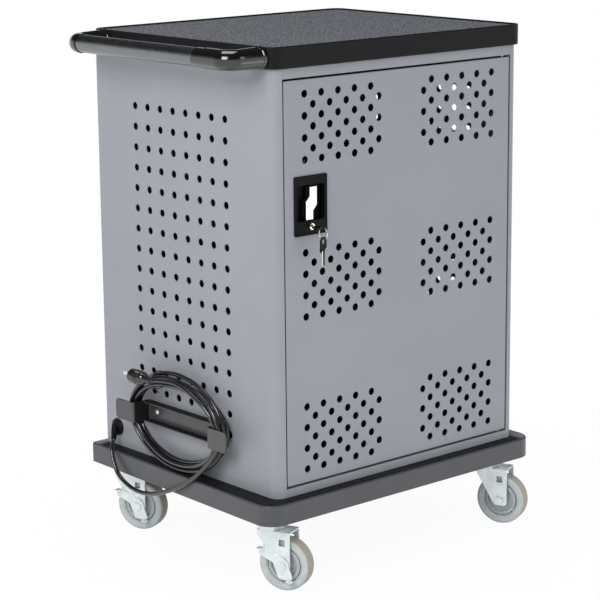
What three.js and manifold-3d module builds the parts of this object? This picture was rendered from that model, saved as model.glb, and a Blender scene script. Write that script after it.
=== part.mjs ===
// Laptop charging cart: a perforated sheet-steel cabinet on a wide base with four swivel casters,
// a push handle and work tray on top, a locking front door, a rear power door and a mains lead
// wound on a bracket at the side. Millimetres, X along the door, Y from the door to the back, Z up.
import * as THREE from 'three';
import { mergeVertices } from 'three/addons/utils/BufferGeometryUtils.js';
import loadManifold from 'manifold-3d';

// Sheet metal and clearances
const SHEET = 1.5;
const SEAT_GAP = 0.3;
const RUNNING_GAP = 0.4;
const CORNER_STEPS = 2;
const ROUND_SIDES = 6;
const LOCK_SIDES = 8;

// Cabinet body
const BODY_WIDTH = 622;
const BODY_DEPTH = 526;
const BODY_HEIGHT = 785;
const CORNER_RADIUS = 22;
const JAMB_DEPTH = 18;
const HEADER_HEIGHT = 18.5;
const SILL_HEIGHT = 16;

// Base pan and its caster rails
const BASE_OVERHANG_FRONT = 28;
const BASE_OVERHANG_SIDE = 29;
const BASE_OVERHANG_REAR = 17;
const BASE_LEFT_SPLAY = 14;
const BASE_HEIGHT = 38.5;
const BASE_WALL = 2;
const BASE_CORNER_RADIUS = 37;
const BASE_REAR_RADIUS = 8;
const RAIL_WALL = 2.5;
const RAIL_MARGIN = 6;

// Casters
const CASTER_INSET_SIDE = 54;
const CASTER_INSET_FRONT = 61;
const CASTER_INSET_REAR = 50;
const CASTER_FRONT_SHIFT = -14;
const CASTER_TRAIL = 32;
const CASTER_TURN = 24;
const CASTER_PLATE_WIDTH = 84;
const CASTER_PLATE_LENGTH = 96;
const CASTER_PLATE_THICKNESS = 4;
const RACE_DIAMETER = 54;
const RACE_HEIGHT = 17;
const KINGPIN_DIAMETER = 12;
const KINGPIN_HEAD_DIAMETER = 22;
const KINGPIN_HEAD_HEIGHT = 4;
const FORK_SHEET = 3;
const FORK_FRONT_REACH = 16;
const FORK_REAR_REACH = 19;
const FORK_FOOT_DROP = 10;
const FORK_FOOT_CORNER = 4;
const FORK_FOOT_REAR = 13;
const FORK_WINDOW = 12;
const FORK_WINDOW_RISE = 44;
const CROWN_CLEARANCE = 12;
const WHEEL_DIAMETER = 100;
const WHEEL_SIDES = 12;
const TYRE_WIDTH = 30;
const TYRE_SHOULDER = 4;
const HUB_DIAMETER = 66;
const HUB_RIM_WIDTH = 22;
const HUB_BOSS_DIAMETER = 26;
const HUB_BOSS_LENGTH = 35;
const AXLE_DIAMETER = 10;
const AXLE_OVERHANG = 6;
const BRAKE_SHEET = 2.5;
const BRAKE_PEDAL_REACH = 46;
const BRAKE_PEDAL_RISE = 33;
const BRAKE_PEDAL_WIDTH = 13;
const BRAKE_PEDAL_LENGTH = 10;
const BRAKE_ARM_WIDTH = 14;
const BRAKE_TAIL_REACH = 22;
const BRAKE_TAIL_DROP = 26;
const BRAKE_EYE_RADIUS = 17;

// Perforation
const HOLE_DIAMETER = 14;
const HOLE_SIDES = 5;
const SIDE_COLUMNS = 8;
const SIDE_ROWS = 16;
const SIDE_PITCH_Y = 38.5;
const SIDE_PITCH_Z = 39.3;
const SIDE_PATTERN_SETBACK = 6.5;
const GROUP_COLUMNS = 5;
const GROUP_ROWS = 7;
const GROUP_PITCH_X = 40;
const GROUP_PITCH_Z = 19.7;
const GROUP_MARGIN_X = 48.5;
const GROUP_MARGIN_Z = 25.65;
const VENT_SLOTS = 4;
const VENT_LENGTH = 320;
const VENT_WIDTH = 9;
const VENT_PITCH = 26;
const VENT_MARGIN_Z = 68.5;

// Doors
const DOOR_GAP = 3.5;
const DOOR_THICKNESS = 18;
const PIN_DIAMETER = 6;
const PIN_INSET = 12;
const PIN_SETBACK = 9;
const REAR_JAMB_WIDTH = 18;
const REAR_JAMB_THICKNESS = 3;
const SWING_GAP = 1;

// Lock on the front door
const DISH_INSET = 59.5;
const DISH_LIFT = 1.85;
const DISH_WIDTH = 77.5;
const DISH_HEIGHT = 108.5;
const DISH_LIP = 3;
const DISH_FLANGE = 4;
const DISH_DEPTH = 19;
const DISH_FLOOR = 3;
const POCKET_SIZE = 68;
const POCKET_RISE = 4;
const LEVER_HALF_LENGTH = 30;
const LEVER_WIDTH = 17;
const LEVER_STEP = 9;
const LEVER_STEP_RISE = 10;
const LEVER_THICKNESS = 12;
const SPINDLE_DIAMETER = 9;
const LATCH_LENGTH = 75;
const LATCH_TAIL = 15;
const LATCH_WIDTH = 14;
const LATCH_THICKNESS = 4;
const CYLINDER_DROP = 38.5;
const CYLINDER_DIAMETER = 13;
const CYLINDER_PROUD = 3;
const TAIL_CAM_LENGTH = 22;
const KEY_SHANK_LENGTH = 5;
const KEY_SHANK_WIDTH = 7;
const KEY_HEAD_LENGTH = 25;
const KEY_HEAD_WIDTH = 22;
const KEY_HEAD_THICKNESS = 2.2;
const KEY_EYE_DIAMETER = 10;
const KEY_EYE_MARGIN = 3;
const KEY_BLADE_LENGTH = 27;
const SPARE_KEY_TURN = 20;
const RING_DIAMETER = 24;
const RING_WIRE = 1.8;
const REAR_LOCK_INSET = 34;

// Interior
const SHELF_HEIGHT = 390;
const SHELF_LIP = 15;
const SHELF_SETBACK = 34;
const PARTITION_SETBACK = 402;
const PARTITION_WINDOW_WIDTH = 480;
const PARTITION_WINDOW_HEIGHT = 36;
const PARTITION_WINDOW_DROP = 55;
const SLOT_COUNT = 12;
const RACK_SIDE_GAP = 20.2;
const DIVIDER_THICKNESS = 2;
const DIVIDER_HEIGHT = 200;
const RACK_DEPTH = 330;
const RACK_SETBACK = 45;
const STRIP_LENGTH = 500;
const STRIP_HEIGHT = 44;
const STRIP_DEPTH = 36;
const STRIP_RISE = 210;
const STRIP_CHAMFER = 4;

// Tray, mat and push handle
const TRAY_OVERHANG = 6;
const TRAY_HEIGHT = 39.3;
const TRAY_CORNER_RADIUS = 24;
const TRAY_WALL = 4;
const TRAY_RIM = 7;
const TRAY_RECESS = 7;
const MAT_THICKNESS = 4;
const MAT_MARGIN = 1;
const HANDLE_REACH = 70;
const HANDLE_SPREAD = 463;
const HANDLE_CENTRE_Y = -6;
const GRIP_DIAMETER = 34;
const GRIP_LENGTH = 350;
const GRIP_CENTRE_Y = 24;
const ELBOW_DIAMETER = 37;
const ELBOW_BEND_RADIUS = 22;
const ELBOW_STEPS = 7;
const TUBE_SIDES = 10;

// Cord bracket, gland, lead, coil and plug
const HOOK_CENTRE_Y = 3;
const HOOK_LENGTH = 233;
const HOOK_REACH = 42;
const HOOK_LIP = 54;
const HOOK_HEIGHT = 40;
const HOOK_SHEET = 3;
const HOOK_BOTTOM = 251;
const GLAND_Y = 225;
const GLAND_Z = 213;
const GLAND_DIAMETER = 34;
const GLAND_DOME = 10;
const GLAND_NOZZLE_RISE = 8.5;
const GLAND_NOZZLE_LENGTH = 28;
const GLAND_NOZZLE_DIAMETER = 17;
const GLAND_TILT = 47;
const GLAND_SWING = 44.5;
const CORD_DIAMETER = 8.5;
const CORD_SIDES = 8;
const CORD_STEPS = 20;
const COIL_CENTRE_Y = 6;
const COIL_CENTRE_Z = 273;
const COIL_HALF_LENGTH = 146;
const COIL_HALF_HEIGHT = 97;
const COIL_BUNDLE = 17;
const COIL_THICKNESS = 31;
const COIL_STANDOFF = 7;
const COIL_SIDES = 20;
const PLUG_DIAMETER = 28;
const PLUG_LENGTH = 40;
const PLUG_Y = 85;
const PLUG_Z = 351;
const PRONG_LENGTH = 17;
const PRONG_WIDTH = 6.5;
const PRONG_THICKNESS = 1.6;
const PRONG_SPACING = 12.7;
const PRONG_RISE = 3.5;
const GROUND_PIN_DIAMETER = 4.8;
const GROUND_PIN_DROP = 11.9;

// Levels and planes that follow from the sizes above
const crownBottom = WHEEL_DIAMETER + CROWN_CLEARANCE;
const crownTop = crownBottom + FORK_SHEET;
const raceBottom = crownTop + SEAT_GAP;
const plateBottom = raceBottom + RACE_HEIGHT;
const plateTop = plateBottom + CASTER_PLATE_THICKNESS;
const baseBottom = plateTop + SEAT_GAP;
const baseTop = baseBottom + BASE_HEIGHT;
const bodyBottom = baseTop + SEAT_GAP;
const bodyTop = bodyBottom + BODY_HEIGHT;
const trayBottom = bodyTop + SEAT_GAP;
const trayTop = trayBottom + TRAY_HEIGHT;
const halfWidth = BODY_WIDTH / 2;
const halfDepth = BODY_DEPTH / 2;
const innerHalfWidth = halfWidth - SHEET - SEAT_GAP;
const doorwayHalfWidth = halfWidth - CORNER_RADIUS;
const doorHalfWidth = doorwayHalfWidth - DOOR_GAP;
const doorBottom = bodyBottom + SILL_HEIGHT + DOOR_GAP;
const doorTop = bodyTop - HEADER_HEIGHT - DOOR_GAP;
const doorCentreZ = (doorBottom + doorTop) / 2;
const groupX = doorHalfWidth - GROUP_MARGIN_X - ((2 * GROUP_COLUMNS - 1) * GROUP_PITCH_X) / 4;
const groupSpacingZ = (doorTop - doorBottom) / 2 - GROUP_MARGIN_Z - ((GROUP_ROWS - 1) * GROUP_PITCH_Z) / 2;
const dishX = -doorHalfWidth + DISH_INSET;
const dishZ = doorCentreZ + groupSpacingZ / 2 + DISH_LIFT;
const casterX = halfWidth + BASE_OVERHANG_SIDE - CASTER_INSET_SIDE;
const casterFrontY = -halfDepth - BASE_OVERHANG_FRONT + CASTER_INSET_FRONT;
const casterRearY = halfDepth + BASE_OVERHANG_REAR - CASTER_INSET_REAR;
const floorTop = bodyBottom + SHEET;
const ceiling = bodyTop - SHEET;
const shelfTop = floorTop + SHELF_HEIGHT;
const partitionFront = -halfDepth + PARTITION_SETBACK;
const pinLength = DOOR_GAP + SHEET;

// Finishes
const greyEnamel = new THREE.MeshStandardMaterial({ color: 0x9a9ca2, roughness: 0.5, metalness: 0.2 });
const blackEnamel = new THREE.MeshStandardMaterial({ color: 0x3c3d41, roughness: 0.4, metalness: 0.2 });
const blackPlastic = new THREE.MeshStandardMaterial({ color: 0x232326, roughness: 0.35, metalness: 0 });
const greyPlastic = new THREE.MeshStandardMaterial({ color: 0xb9bfc4, roughness: 0.6, metalness: 0 });
const greyRubber = new THREE.MeshStandardMaterial({ color: 0xc9ced2, roughness: 0.7, metalness: 0 });
const matRubber = new THREE.MeshStandardMaterial({ color: 0x5a5b5f, roughness: 0.9, metalness: 0 });
const blackRubber = new THREE.MeshStandardMaterial({ color: 0x222224, roughness: 0.6, metalness: 0 });
const zinc = new THREE.MeshStandardMaterial({ color: 0xd6dee0, roughness: 0.35, metalness: 0.9 });
const chrome = new THREE.MeshStandardMaterial({ color: 0xe2e2e0, roughness: 0.15, metalness: 1 });
const gripSatin = new THREE.MeshStandardMaterial({ color: 0x85888b, roughness: 0.45, metalness: 0.6 });

// Solids: closed meshes that can be joined and cut
const manifold = await loadManifold();
manifold.setup();

function solidFrom(geometry) {
  const bare = geometry.clone();
  bare.deleteAttribute('normal');
  bare.deleteAttribute('uv');
  const merged = mergeVertices(bare, 1e-4);
  const corners = merged.index.array;
  const triangles = [];
  for (let i = 0; i < corners.length; i += 3) {
    const [a, b, c] = corners.slice(i, i + 3);
    if (a !== b && b !== c && c !== a) {
      triangles.push(a, b, c);
    }
  }
  return new manifold.Manifold(new manifold.Mesh({
    numProp: 3,
    vertProperties: merged.attributes.position.array,
    triVerts: new Uint32Array(triangles),
  }));
}

function join(...solids) {
  return solids.reduce((whole, solid) => whole.add(solid));
}

function cut(solid, ...tools) {
  return tools.reduce((rest, tool) => rest.subtract(tool), solid);
}

function piece(name, solid, finish) {
  const result = solid.getMesh();
  const geometry = new THREE.BufferGeometry();
  geometry.setAttribute('position', new THREE.BufferAttribute(result.vertProperties, 3));
  geometry.setIndex(new THREE.BufferAttribute(result.triVerts, 1));
  const material = finish.clone();
  material.flatShading = true;
  const mesh = new THREE.Mesh(geometry, material);
  mesh.name = name;
  return mesh;
}

// A group that turns about a point, holding pieces that were drawn in its parent's frame
function pivot(name, x, y, z, ...pieces) {
  const group = new THREE.Group();
  group.name = name;
  group.position.set(x, y, z);
  for (const mesh of pieces) {
    mesh.position.set(-x, -y, -z);
    group.add(mesh);
  }
  return group;
}

// Outlines drawn in (y, z) or (x, z) are given their thickness along X or Y
const AXIS_X = new THREE.Vector3(1, 0, 0);
const AXIS_Y = new THREE.Vector3(0, 1, 0);
const AXIS_Z = new THREE.Vector3(0, 0, 1);
const outlineToYZ = new THREE.Matrix4().makeBasis(AXIS_Y, AXIS_Z, AXIS_X);
const outlineToXZ = new THREE.Matrix4().makeBasis(AXIS_X, AXIS_Z, AXIS_Y.clone().negate());

function extrude(shape, thickness) {
  return new THREE.ExtrudeGeometry(shape, { depth: thickness, bevelEnabled: false, curveSegments: CORNER_STEPS });
}

function slabX(shape, from, to) {
  return solidFrom(extrude(shape, to - from).applyMatrix4(outlineToYZ).translate(from, 0, 0));
}

function slabY(shape, from, to) {
  return solidFrom(extrude(shape, to - from).applyMatrix4(outlineToXZ).translate(0, to, 0));
}

function slabZ(shape, from, to) {
  return solidFrom(extrude(shape, to - from).translate(0, 0, from));
}

function box(x0, x1, y0, y1, z0, z1) {
  const geometry = new THREE.BoxGeometry(x1 - x0, y1 - y0, z1 - z0);
  return solidFrom(geometry.translate((x0 + x1) / 2, (y0 + y1) / 2, (z0 + z1) / 2));
}

function outline(points) {
  return new THREE.Shape(points.map(([a, b]) => new THREE.Vector2(a, b)));
}

function rectangle(centreA, centreB, sizeA, sizeB) {
  const a = sizeA / 2;
  const b = sizeB / 2;
  return outline([
    [centreA - a, centreB - b],
    [centreA + a, centreB - b],
    [centreA + a, centreB + b],
    [centreA - a, centreB + b],
  ]);
}

function roundedRectangle(sizeA, sizeB, radius) {
  const a = sizeA / 2 - radius;
  const b = sizeB / 2 - radius;
  const shape = new THREE.Shape();
  shape.absarc(a, b, radius, 0, Math.PI / 2);
  shape.absarc(-a, b, radius, Math.PI / 2, Math.PI);
  shape.absarc(-a, -b, radius, Math.PI, 1.5 * Math.PI);
  shape.absarc(a, -b, radius, 1.5 * Math.PI, 2 * Math.PI);
  shape.closePath();
  return shape;
}

function polygon(centreA, centreB, radius, sides) {
  const points = [];
  for (let i = 0; i < sides; i += 1) {
    const angle = (2 * Math.PI * (i + 0.5)) / sides;
    points.push([centreA + radius * Math.cos(angle), centreB + radius * Math.sin(angle)]);
  }
  return outline(points);
}

// A polygon whose flats lie on the given circle, so that it clears a round part inside it
function polygonRound(centreA, centreB, radius, sides) {
  return polygon(centreA, centreB, radius / Math.cos(Math.PI / sides), sides);
}

// A revolved solid about an axis along Z, X or Y; profile points are [radius, height along the axis]
function revolve(profile, sides) {
  const points = profile.map(([radius, height]) => new THREE.Vector2(radius, height));
  return new THREE.LatheGeometry(points, sides, Math.PI / sides).rotateX(Math.PI / 2);
}

function revolveX(profile, sides) {
  return revolve(profile, sides).rotateY(Math.PI / 2);
}

function closed(profile) {
  return [...profile, profile[0]];
}

function tube(curve, diameter, sides, steps) {
  const section = polygon(0, 0, diameter / 2, sides);
  return solidFrom(new THREE.ExtrudeGeometry(section, { steps, extrudePath: curve, bevelEnabled: false }));
}

const at = (x, y, z) => new THREE.Vector3(x, y, z);

// Perforated sheet: the facetted holes keep the area of the round ones
const holeReach = (HOLE_DIAMETER / 2) * Math.sqrt((2 * Math.PI) / HOLE_SIDES / Math.sin((2 * Math.PI) / HOLE_SIDES));

function punch(shape, a, b) {
  shape.holes.push(polygon(a, b, holeReach, HOLE_SIDES));
}

// Base pan with a rail on each side for the caster plates
function baseOutline(inset) {
  const side = halfWidth + BASE_OVERHANG_SIDE - inset;
  const front = -halfDepth - BASE_OVERHANG_FRONT + inset;
  const rear = halfDepth + BASE_OVERHANG_REAR - inset;
  const round = BASE_CORNER_RADIUS - inset;
  const small = BASE_REAR_RADIUS - inset;
  const splayed = -side - BASE_LEFT_SPLAY;
  const shape = new THREE.Shape();
  shape.absarc(side - small, rear - small, small, 0, Math.PI / 2);
  shape.absarc(-side + small, rear - small, small, Math.PI / 2, Math.PI);
  shape.absarc(splayed + round, front + round, round, Math.PI, 1.5 * Math.PI);
  shape.absarc(side - round, front + round, round, 1.5 * Math.PI, 2 * Math.PI);
  shape.closePath();
  return shape;
}

function basePan() {
  const shell = slabZ(baseOutline(0), baseBottom, baseTop);
  return cut(shell, slabZ(baseOutline(BASE_WALL), baseBottom - 1, baseTop - BASE_WALL));
}

function baseRail(side) {
  const half = CASTER_PLATE_WIDTH / 2 + RAIL_MARGIN;
  const top = baseTop - BASE_WALL - SEAT_GAP;
  const length = BODY_DEPTH;
  const channel = outline([
    [-half, baseBottom],
    [half, baseBottom],
    [half, top],
    [half - RAIL_WALL, top],
    [half - RAIL_WALL, baseBottom + RAIL_WALL],
    [-half + RAIL_WALL, baseBottom + RAIL_WALL],
    [-half + RAIL_WALL, top],
    [-half, top],
  ]);
  return slabY(channel, -length / 2, length / 2);
}

// Cabinet skin
function sidePanel(side) {
  const front = -halfDepth + CORNER_RADIUS + SEAT_GAP;
  const length = halfDepth - front;
  const sheet = rectangle(front + length / 2, bodyBottom + BODY_HEIGHT / 2, length, BODY_HEIGHT);
  for (let column = 0; column < SIDE_COLUMNS; column += 1) {
    for (let row = 0; row < SIDE_ROWS; row += 1) {
      const y = SIDE_PATTERN_SETBACK + (column - (SIDE_COLUMNS - 1) / 2) * SIDE_PITCH_Y;
      const z = doorCentreZ + (row - (SIDE_ROWS - 1) / 2) * SIDE_PITCH_Z;
      punch(sheet, y, z);
    }
  }
  const faces = [side * halfWidth, side * (halfWidth - SHEET)].sort((a, b) => a - b);
  return slabX(sheet, faces[0], faces[1]);
}

function cornerPost(side) {
  const centreX = -doorwayHalfWidth;
  const centreY = -halfDepth + CORNER_RADIUS;
  const inner = CORNER_RADIUS - SHEET;
  const shape = new THREE.Shape();
  shape.absarc(centreX, centreY, CORNER_RADIUS, Math.PI, 1.5 * Math.PI);
  shape.lineTo(centreX, -halfDepth + JAMB_DEPTH);
  shape.lineTo(centreX - SHEET, -halfDepth + JAMB_DEPTH);
  shape.absarc(centreX, centreY, inner, 1.5 * Math.PI - Math.asin(SHEET / inner), Math.PI, true);
  const points = shape.getPoints(CORNER_STEPS).map((point) => [-side * point.x, point.y]);
  return slabZ(outline(points), bodyBottom, bodyTop);
}

// The sheet under the tray or over the base: full width behind the corner posts, narrower between them
function bodySheet() {
  const front = doorwayHalfWidth - SEAT_GAP;
  const step = -halfDepth + CORNER_RADIUS + SEAT_GAP;
  return outline([
    [-front, -halfDepth],
    [front, -halfDepth],
    [front, step],
    [innerHalfWidth, step],
    [innerHalfWidth, halfDepth],
    [-innerHalfWidth, halfDepth],
    [-innerHalfWidth, step],
    [-front, step],
  ]);
}

function pinHole(hinge, z0, z1) {
  return slabZ(polygonRound(hinge.x, hinge.y, PIN_DIAMETER / 2 + RUNNING_GAP, ROUND_SIDES), z0, z1);
}

function topPanel() {
  const front = doorwayHalfWidth - SEAT_GAP;
  const bottom = bodyTop - HEADER_HEIGHT;
  const header = box(-front, front, -halfDepth, -halfDepth + SHEET, bottom, bodyTop);
  const turnIn = box(-front, front, -halfDepth, -halfDepth + JAMB_DEPTH, bottom, bottom + SHEET);
  const sheet = join(slabZ(bodySheet(), ceiling, bodyTop), header, turnIn);
  return cut(sheet, pinHole(frontHinge, bottom - 1, ceiling - 1), pinHole(rearHinge, ceiling - 1, bodyTop + 1));
}

function floorPanel() {
  const front = doorwayHalfWidth - SEAT_GAP;
  const top = bodyBottom + SILL_HEIGHT;
  const sill = box(-front, front, -halfDepth, -halfDepth + SHEET, bodyBottom, top);
  const turnIn = box(-front, front, -halfDepth, -halfDepth + JAMB_DEPTH, top - SHEET, top);
  const sheet = join(slabZ(bodySheet(), bodyBottom, floorTop), sill, turnIn);
  return cut(sheet, pinHole(frontHinge, floorTop + 1, top + 1), pinHole(rearHinge, bodyBottom - 1, floorTop + 1));
}

function rearJamb(side, back) {
  const middle = side * (innerHalfWidth - REAR_JAMB_WIDTH / 2);
  const bar = rectangle(middle, back - REAR_JAMB_THICKNESS / 2, REAR_JAMB_WIDTH, REAR_JAMB_THICKNESS);
  return slabZ(bar, floorTop + SEAT_GAP, ceiling - SEAT_GAP);
}

// Interior
function midShelf() {
  const front = -halfDepth + SHELF_SETBACK;
  const back = partitionFront - SEAT_GAP;
  const lip = outline([
    [front, shelfTop - SHELF_LIP],
    [front + SHEET, shelfTop - SHELF_LIP],
    [front + SHEET, shelfTop - SHEET],
    [back, shelfTop - SHEET],
    [back, shelfTop],
    [front, shelfTop],
  ]);
  return slabX(lip, -innerHalfWidth, innerHalfWidth);
}

function bayPartition() {
  const bottom = floorTop + SEAT_GAP;
  const top = ceiling - SEAT_GAP;
  const sheet = rectangle(0, (bottom + top) / 2, 2 * innerHalfWidth, top - bottom);
  for (const bayTop of [shelfTop, top]) {
    const z = bayTop - PARTITION_WINDOW_DROP;
    sheet.holes.push(rectangle(0, z, PARTITION_WINDOW_WIDTH, PARTITION_WINDOW_HEIGHT));
  }
  return slabY(sheet, partitionFront, partitionFront + SHEET);
}

function dividerRack(standsOn) {
  const bottom = standsOn + SEAT_GAP;
  const top = bottom + DIVIDER_HEIGHT;
  const half = innerHalfWidth - RACK_SIDE_GAP;
  const pitch = (2 * half - DIVIDER_THICKNESS) / SLOT_COUNT;
  const comb = [[-half, bottom], [half, bottom]];
  for (let divider = SLOT_COUNT; divider >= 0; divider -= 1) {
    const x = (divider - SLOT_COUNT / 2) * pitch;
    const right = x + DIVIDER_THICKNESS / 2;
    const left = x - DIVIDER_THICKNESS / 2;
    if (divider < SLOT_COUNT) {
      comb.push([right, bottom + DIVIDER_THICKNESS]);
    }
    comb.push([right, top], [left, top]);
    if (divider > 0) {
      comb.push([left, bottom + DIVIDER_THICKNESS]);
    }
  }
  const front = -halfDepth + RACK_SETBACK;
  return slabY(outline(comb), front, front + RACK_DEPTH);
}

function powerStrip(standsOn) {
  const front = partitionFront + SHEET + SEAT_GAP;
  const back = front + STRIP_DEPTH;
  const z = standsOn + STRIP_RISE;
  const section = outline([
    [front, z - STRIP_HEIGHT / 2],
    [back - STRIP_CHAMFER, z - STRIP_HEIGHT / 2],
    [back, z - STRIP_HEIGHT / 2 + STRIP_CHAMFER],
    [back, z + STRIP_HEIGHT / 2 - STRIP_CHAMFER],
    [back - STRIP_CHAMFER, z + STRIP_HEIGHT / 2],
    [front, z + STRIP_HEIGHT / 2],
  ]);
  return slabX(section, -STRIP_LENGTH / 2, STRIP_LENGTH / 2);
}

// Doors: a folded pan with a pivot pin at the top and bottom of its hinge edge
const frontHinge = { x: doorHalfWidth - PIN_INSET, y: -halfDepth + PIN_SETBACK };
const rearDoorHalfWidth = innerHalfWidth - DOOR_GAP;
const rearHinge = { x: rearDoorHalfWidth - PIN_INSET, y: halfDepth - PIN_SETBACK };
const rearDoorBottom = floorTop + DOOR_GAP;
const rearDoorTop = ceiling - DOOR_GAP;
const rearStop = halfDepth - DOOR_THICKNESS - SEAT_GAP;
const rearSwing = Math.hypot(PIN_INSET, DOOR_THICKNESS - PIN_SETBACK) + SWING_GAP;

function doorPins(hinge, bottom, top) {
  const section = polygon(hinge.x, hinge.y, PIN_DIAMETER / 2, ROUND_SIDES);
  const lower = slabZ(section, bottom - pinLength, bottom + SHEET);
  const upper = slabZ(section, top - SHEET, top + pinLength);
  return join(lower, upper);
}

function foldedEdge(half, bottom, top, from, to) {
  const height = top - bottom;
  const edge = rectangle(0, (bottom + top) / 2, 2 * half, height);
  edge.holes.push(rectangle(0, (bottom + top) / 2, 2 * (half - SHEET), height - 2 * SHEET));
  return slabY(edge, from, to);
}

function frontDoor() {
  const skin = rectangle(0, doorCentreZ, 2 * doorHalfWidth, doorTop - doorBottom);
  for (const side of [-1, 1]) {
    for (const level of [-1, 0, 1]) {
      for (let row = 0; row < GROUP_ROWS; row += 1) {
        const stagger = row % 2 === 0 ? GROUP_PITCH_X / 4 : -GROUP_PITCH_X / 4;
        const z = doorCentreZ + level * groupSpacingZ + ((GROUP_ROWS - 1) / 2 - row) * GROUP_PITCH_Z;
        for (let column = 0; column < GROUP_COLUMNS; column += 1) {
          const along = (column - (GROUP_COLUMNS - 1) / 2) * GROUP_PITCH_X;
          punch(skin, side * (groupX + along + stagger), z);
        }
      }
    }
  }
  const opening = [DISH_WIDTH - 2 * DISH_FLANGE + 2 * SEAT_GAP, DISH_HEIGHT - 2 * DISH_FLANGE + 2 * SEAT_GAP];
  skin.holes.push(rectangle(dishX, dishZ, opening[0], opening[1]));
  const face = slabY(skin, -halfDepth, -halfDepth + SHEET);
  const edge = foldedEdge(doorHalfWidth, doorBottom, doorTop, -halfDepth, -halfDepth + DOOR_THICKNESS);
  return join(face, edge, doorPins(frontHinge, doorBottom, doorTop));
}

function rearDoor() {
  const middle = (rearDoorBottom + rearDoorTop) / 2;
  const spread = (rearDoorTop - rearDoorBottom) / 2 - VENT_MARGIN_Z - ((VENT_SLOTS - 1) * VENT_PITCH) / 2;
  const sheet = rectangle(0, middle, 2 * rearDoorHalfWidth, rearDoorTop - rearDoorBottom);
  let face = slabY(sheet, halfDepth - SHEET, halfDepth);
  for (const level of [-1, 1]) {
    for (let slot = 0; slot < VENT_SLOTS; slot += 1) {
      const rise = (slot - (VENT_SLOTS - 1) / 2) * VENT_PITCH;
      const vent = rectangle(0, middle + level * spread + rise, VENT_LENGTH, VENT_WIDTH);
      face = cut(face, slabY(vent, halfDepth - 2 * SHEET, halfDepth + 1));
    }
  }
  const lockHole = polygonRound(rearLock.x, rearLock.z, CYLINDER_DIAMETER / 2 + RUNNING_GAP, LOCK_SIDES);
  face = cut(face, slabY(lockHole, halfDepth - 2 * SHEET, halfDepth + 1));
  const edge = foldedEdge(rearDoorHalfWidth, rearDoorBottom, rearDoorTop, halfDepth - DOOR_THICKNESS, halfDepth);
  return join(face, edge, doorPins(rearHinge, rearDoorBottom, rearDoorTop));
}

const rearLock = { x: -rearDoorHalfWidth + REAR_LOCK_INSET, y: halfDepth, z: doorCentreZ };

function rearLockBarrel() {
  const camBack = halfDepth - DOOR_THICKNESS - SEAT_GAP - SHEET - DISH_LIP;
  const camFront = camBack - LATCH_THICKNESS;
  const barrel = slabY(
    polygon(rearLock.x, rearLock.z, CYLINDER_DIAMETER / 2, LOCK_SIDES),
    camFront,
    halfDepth + CYLINDER_PROUD,
  );
  const reach = REAR_LOCK_INSET - DOOR_GAP;
  const cam = rectangle(rearLock.x, rearLock.z + reach / 2, LATCH_WIDTH, reach);
  return join(barrel, slabY(cam, camFront, camBack));
}

// Lock on the front door: a recessed dish with a quarter-turn handle over a key cylinder
const leverZ = dishZ + POCKET_RISE;
const cylinderZ = dishZ - CYLINDER_DROP;
const dishFront = -halfDepth - DISH_LIP;
const dishBack = -halfDepth + DISH_DEPTH;
const leverFront = dishFront - 1;
const leverBack = leverFront + LEVER_THICKNESS;
const latchFront = -halfDepth + DOOR_THICKNESS + DISH_LIP;
const latchBack = latchFront + LATCH_THICKNESS;
const cylinderFront = dishFront - CYLINDER_PROUD;

function lockDish() {
  const plate = slabY(rectangle(dishX, dishZ, DISH_WIDTH, DISH_HEIGHT), dishFront, -halfDepth - SEAT_GAP);
  const bodySize = [DISH_WIDTH - 2 * DISH_FLANGE, DISH_HEIGHT - 2 * DISH_FLANGE];
  const body = slabY(rectangle(dishX, dishZ, bodySize[0], bodySize[1]), dishFront, dishBack);
  const pocket = slabY(rectangle(dishX, leverZ, POCKET_SIZE, POCKET_SIZE), dishFront - 1, dishBack - DISH_FLOOR);
  const spindleHole = polygonRound(dishX, leverZ, SPINDLE_DIAMETER / 2 + RUNNING_GAP, LOCK_SIDES);
  const cylinderHole = polygonRound(dishX, cylinderZ, CYLINDER_DIAMETER / 2 + RUNNING_GAP, LOCK_SIDES);
  const holes = [slabY(spindleHole, dishFront - 1, dishBack + 1), slabY(cylinderHole, dishFront - 1, dishBack + 1)];
  return cut(join(plate, body), pocket, ...holes);
}

function turnHandle() {
  const near = LEVER_WIDTH - (LEVER_WIDTH + LEVER_STEP) / 2;
  const far = (LEVER_WIDTH + LEVER_STEP) / 2;
  const half = [
    [-near, LEVER_HALF_LENGTH],
    [far, LEVER_HALF_LENGTH],
    [far, -near],
    [near, -near - LEVER_STEP_RISE],
  ];
  const turned = half.map(([x, z]) => [-x, -z]);
  const points = [...half, ...turned].map(([x, z]) => [dishX + x, leverZ + z]).reverse();
  const lever = slabY(outline(points), leverFront, leverBack);
  const spindle = polygon(dishX, leverZ, SPINDLE_DIAMETER / 2, LOCK_SIDES);
  return join(lever, slabY(spindle, leverBack - 1, latchBack + 1));
}

function latchCam() {
  const bar = outline([
    [dishX - LATCH_WIDTH / 2, leverZ - LATCH_TAIL],
    [dishX + LATCH_WIDTH / 2, leverZ - LATCH_TAIL],
    [dishX + LATCH_WIDTH / 2, leverZ + LATCH_LENGTH],
    [dishX - LATCH_WIDTH / 2, leverZ + LATCH_LENGTH],
  ]);
  bar.holes.push(polygonRound(dishX, leverZ, SPINDLE_DIAMETER / 2 + SEAT_GAP, LOCK_SIDES));
  return slabY(bar, latchFront, latchBack);
}

function lockCylinder() {
  const barrel = polygon(dishX, cylinderZ, CYLINDER_DIAMETER / 2, LOCK_SIDES);
  const tail = rectangle(dishX, cylinderZ - TAIL_CAM_LENGTH / 2, LATCH_WIDTH, TAIL_CAM_LENGTH);
  return join(slabY(barrel, cylinderFront, latchBack), slabY(tail, latchFront, latchBack));
}

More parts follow.
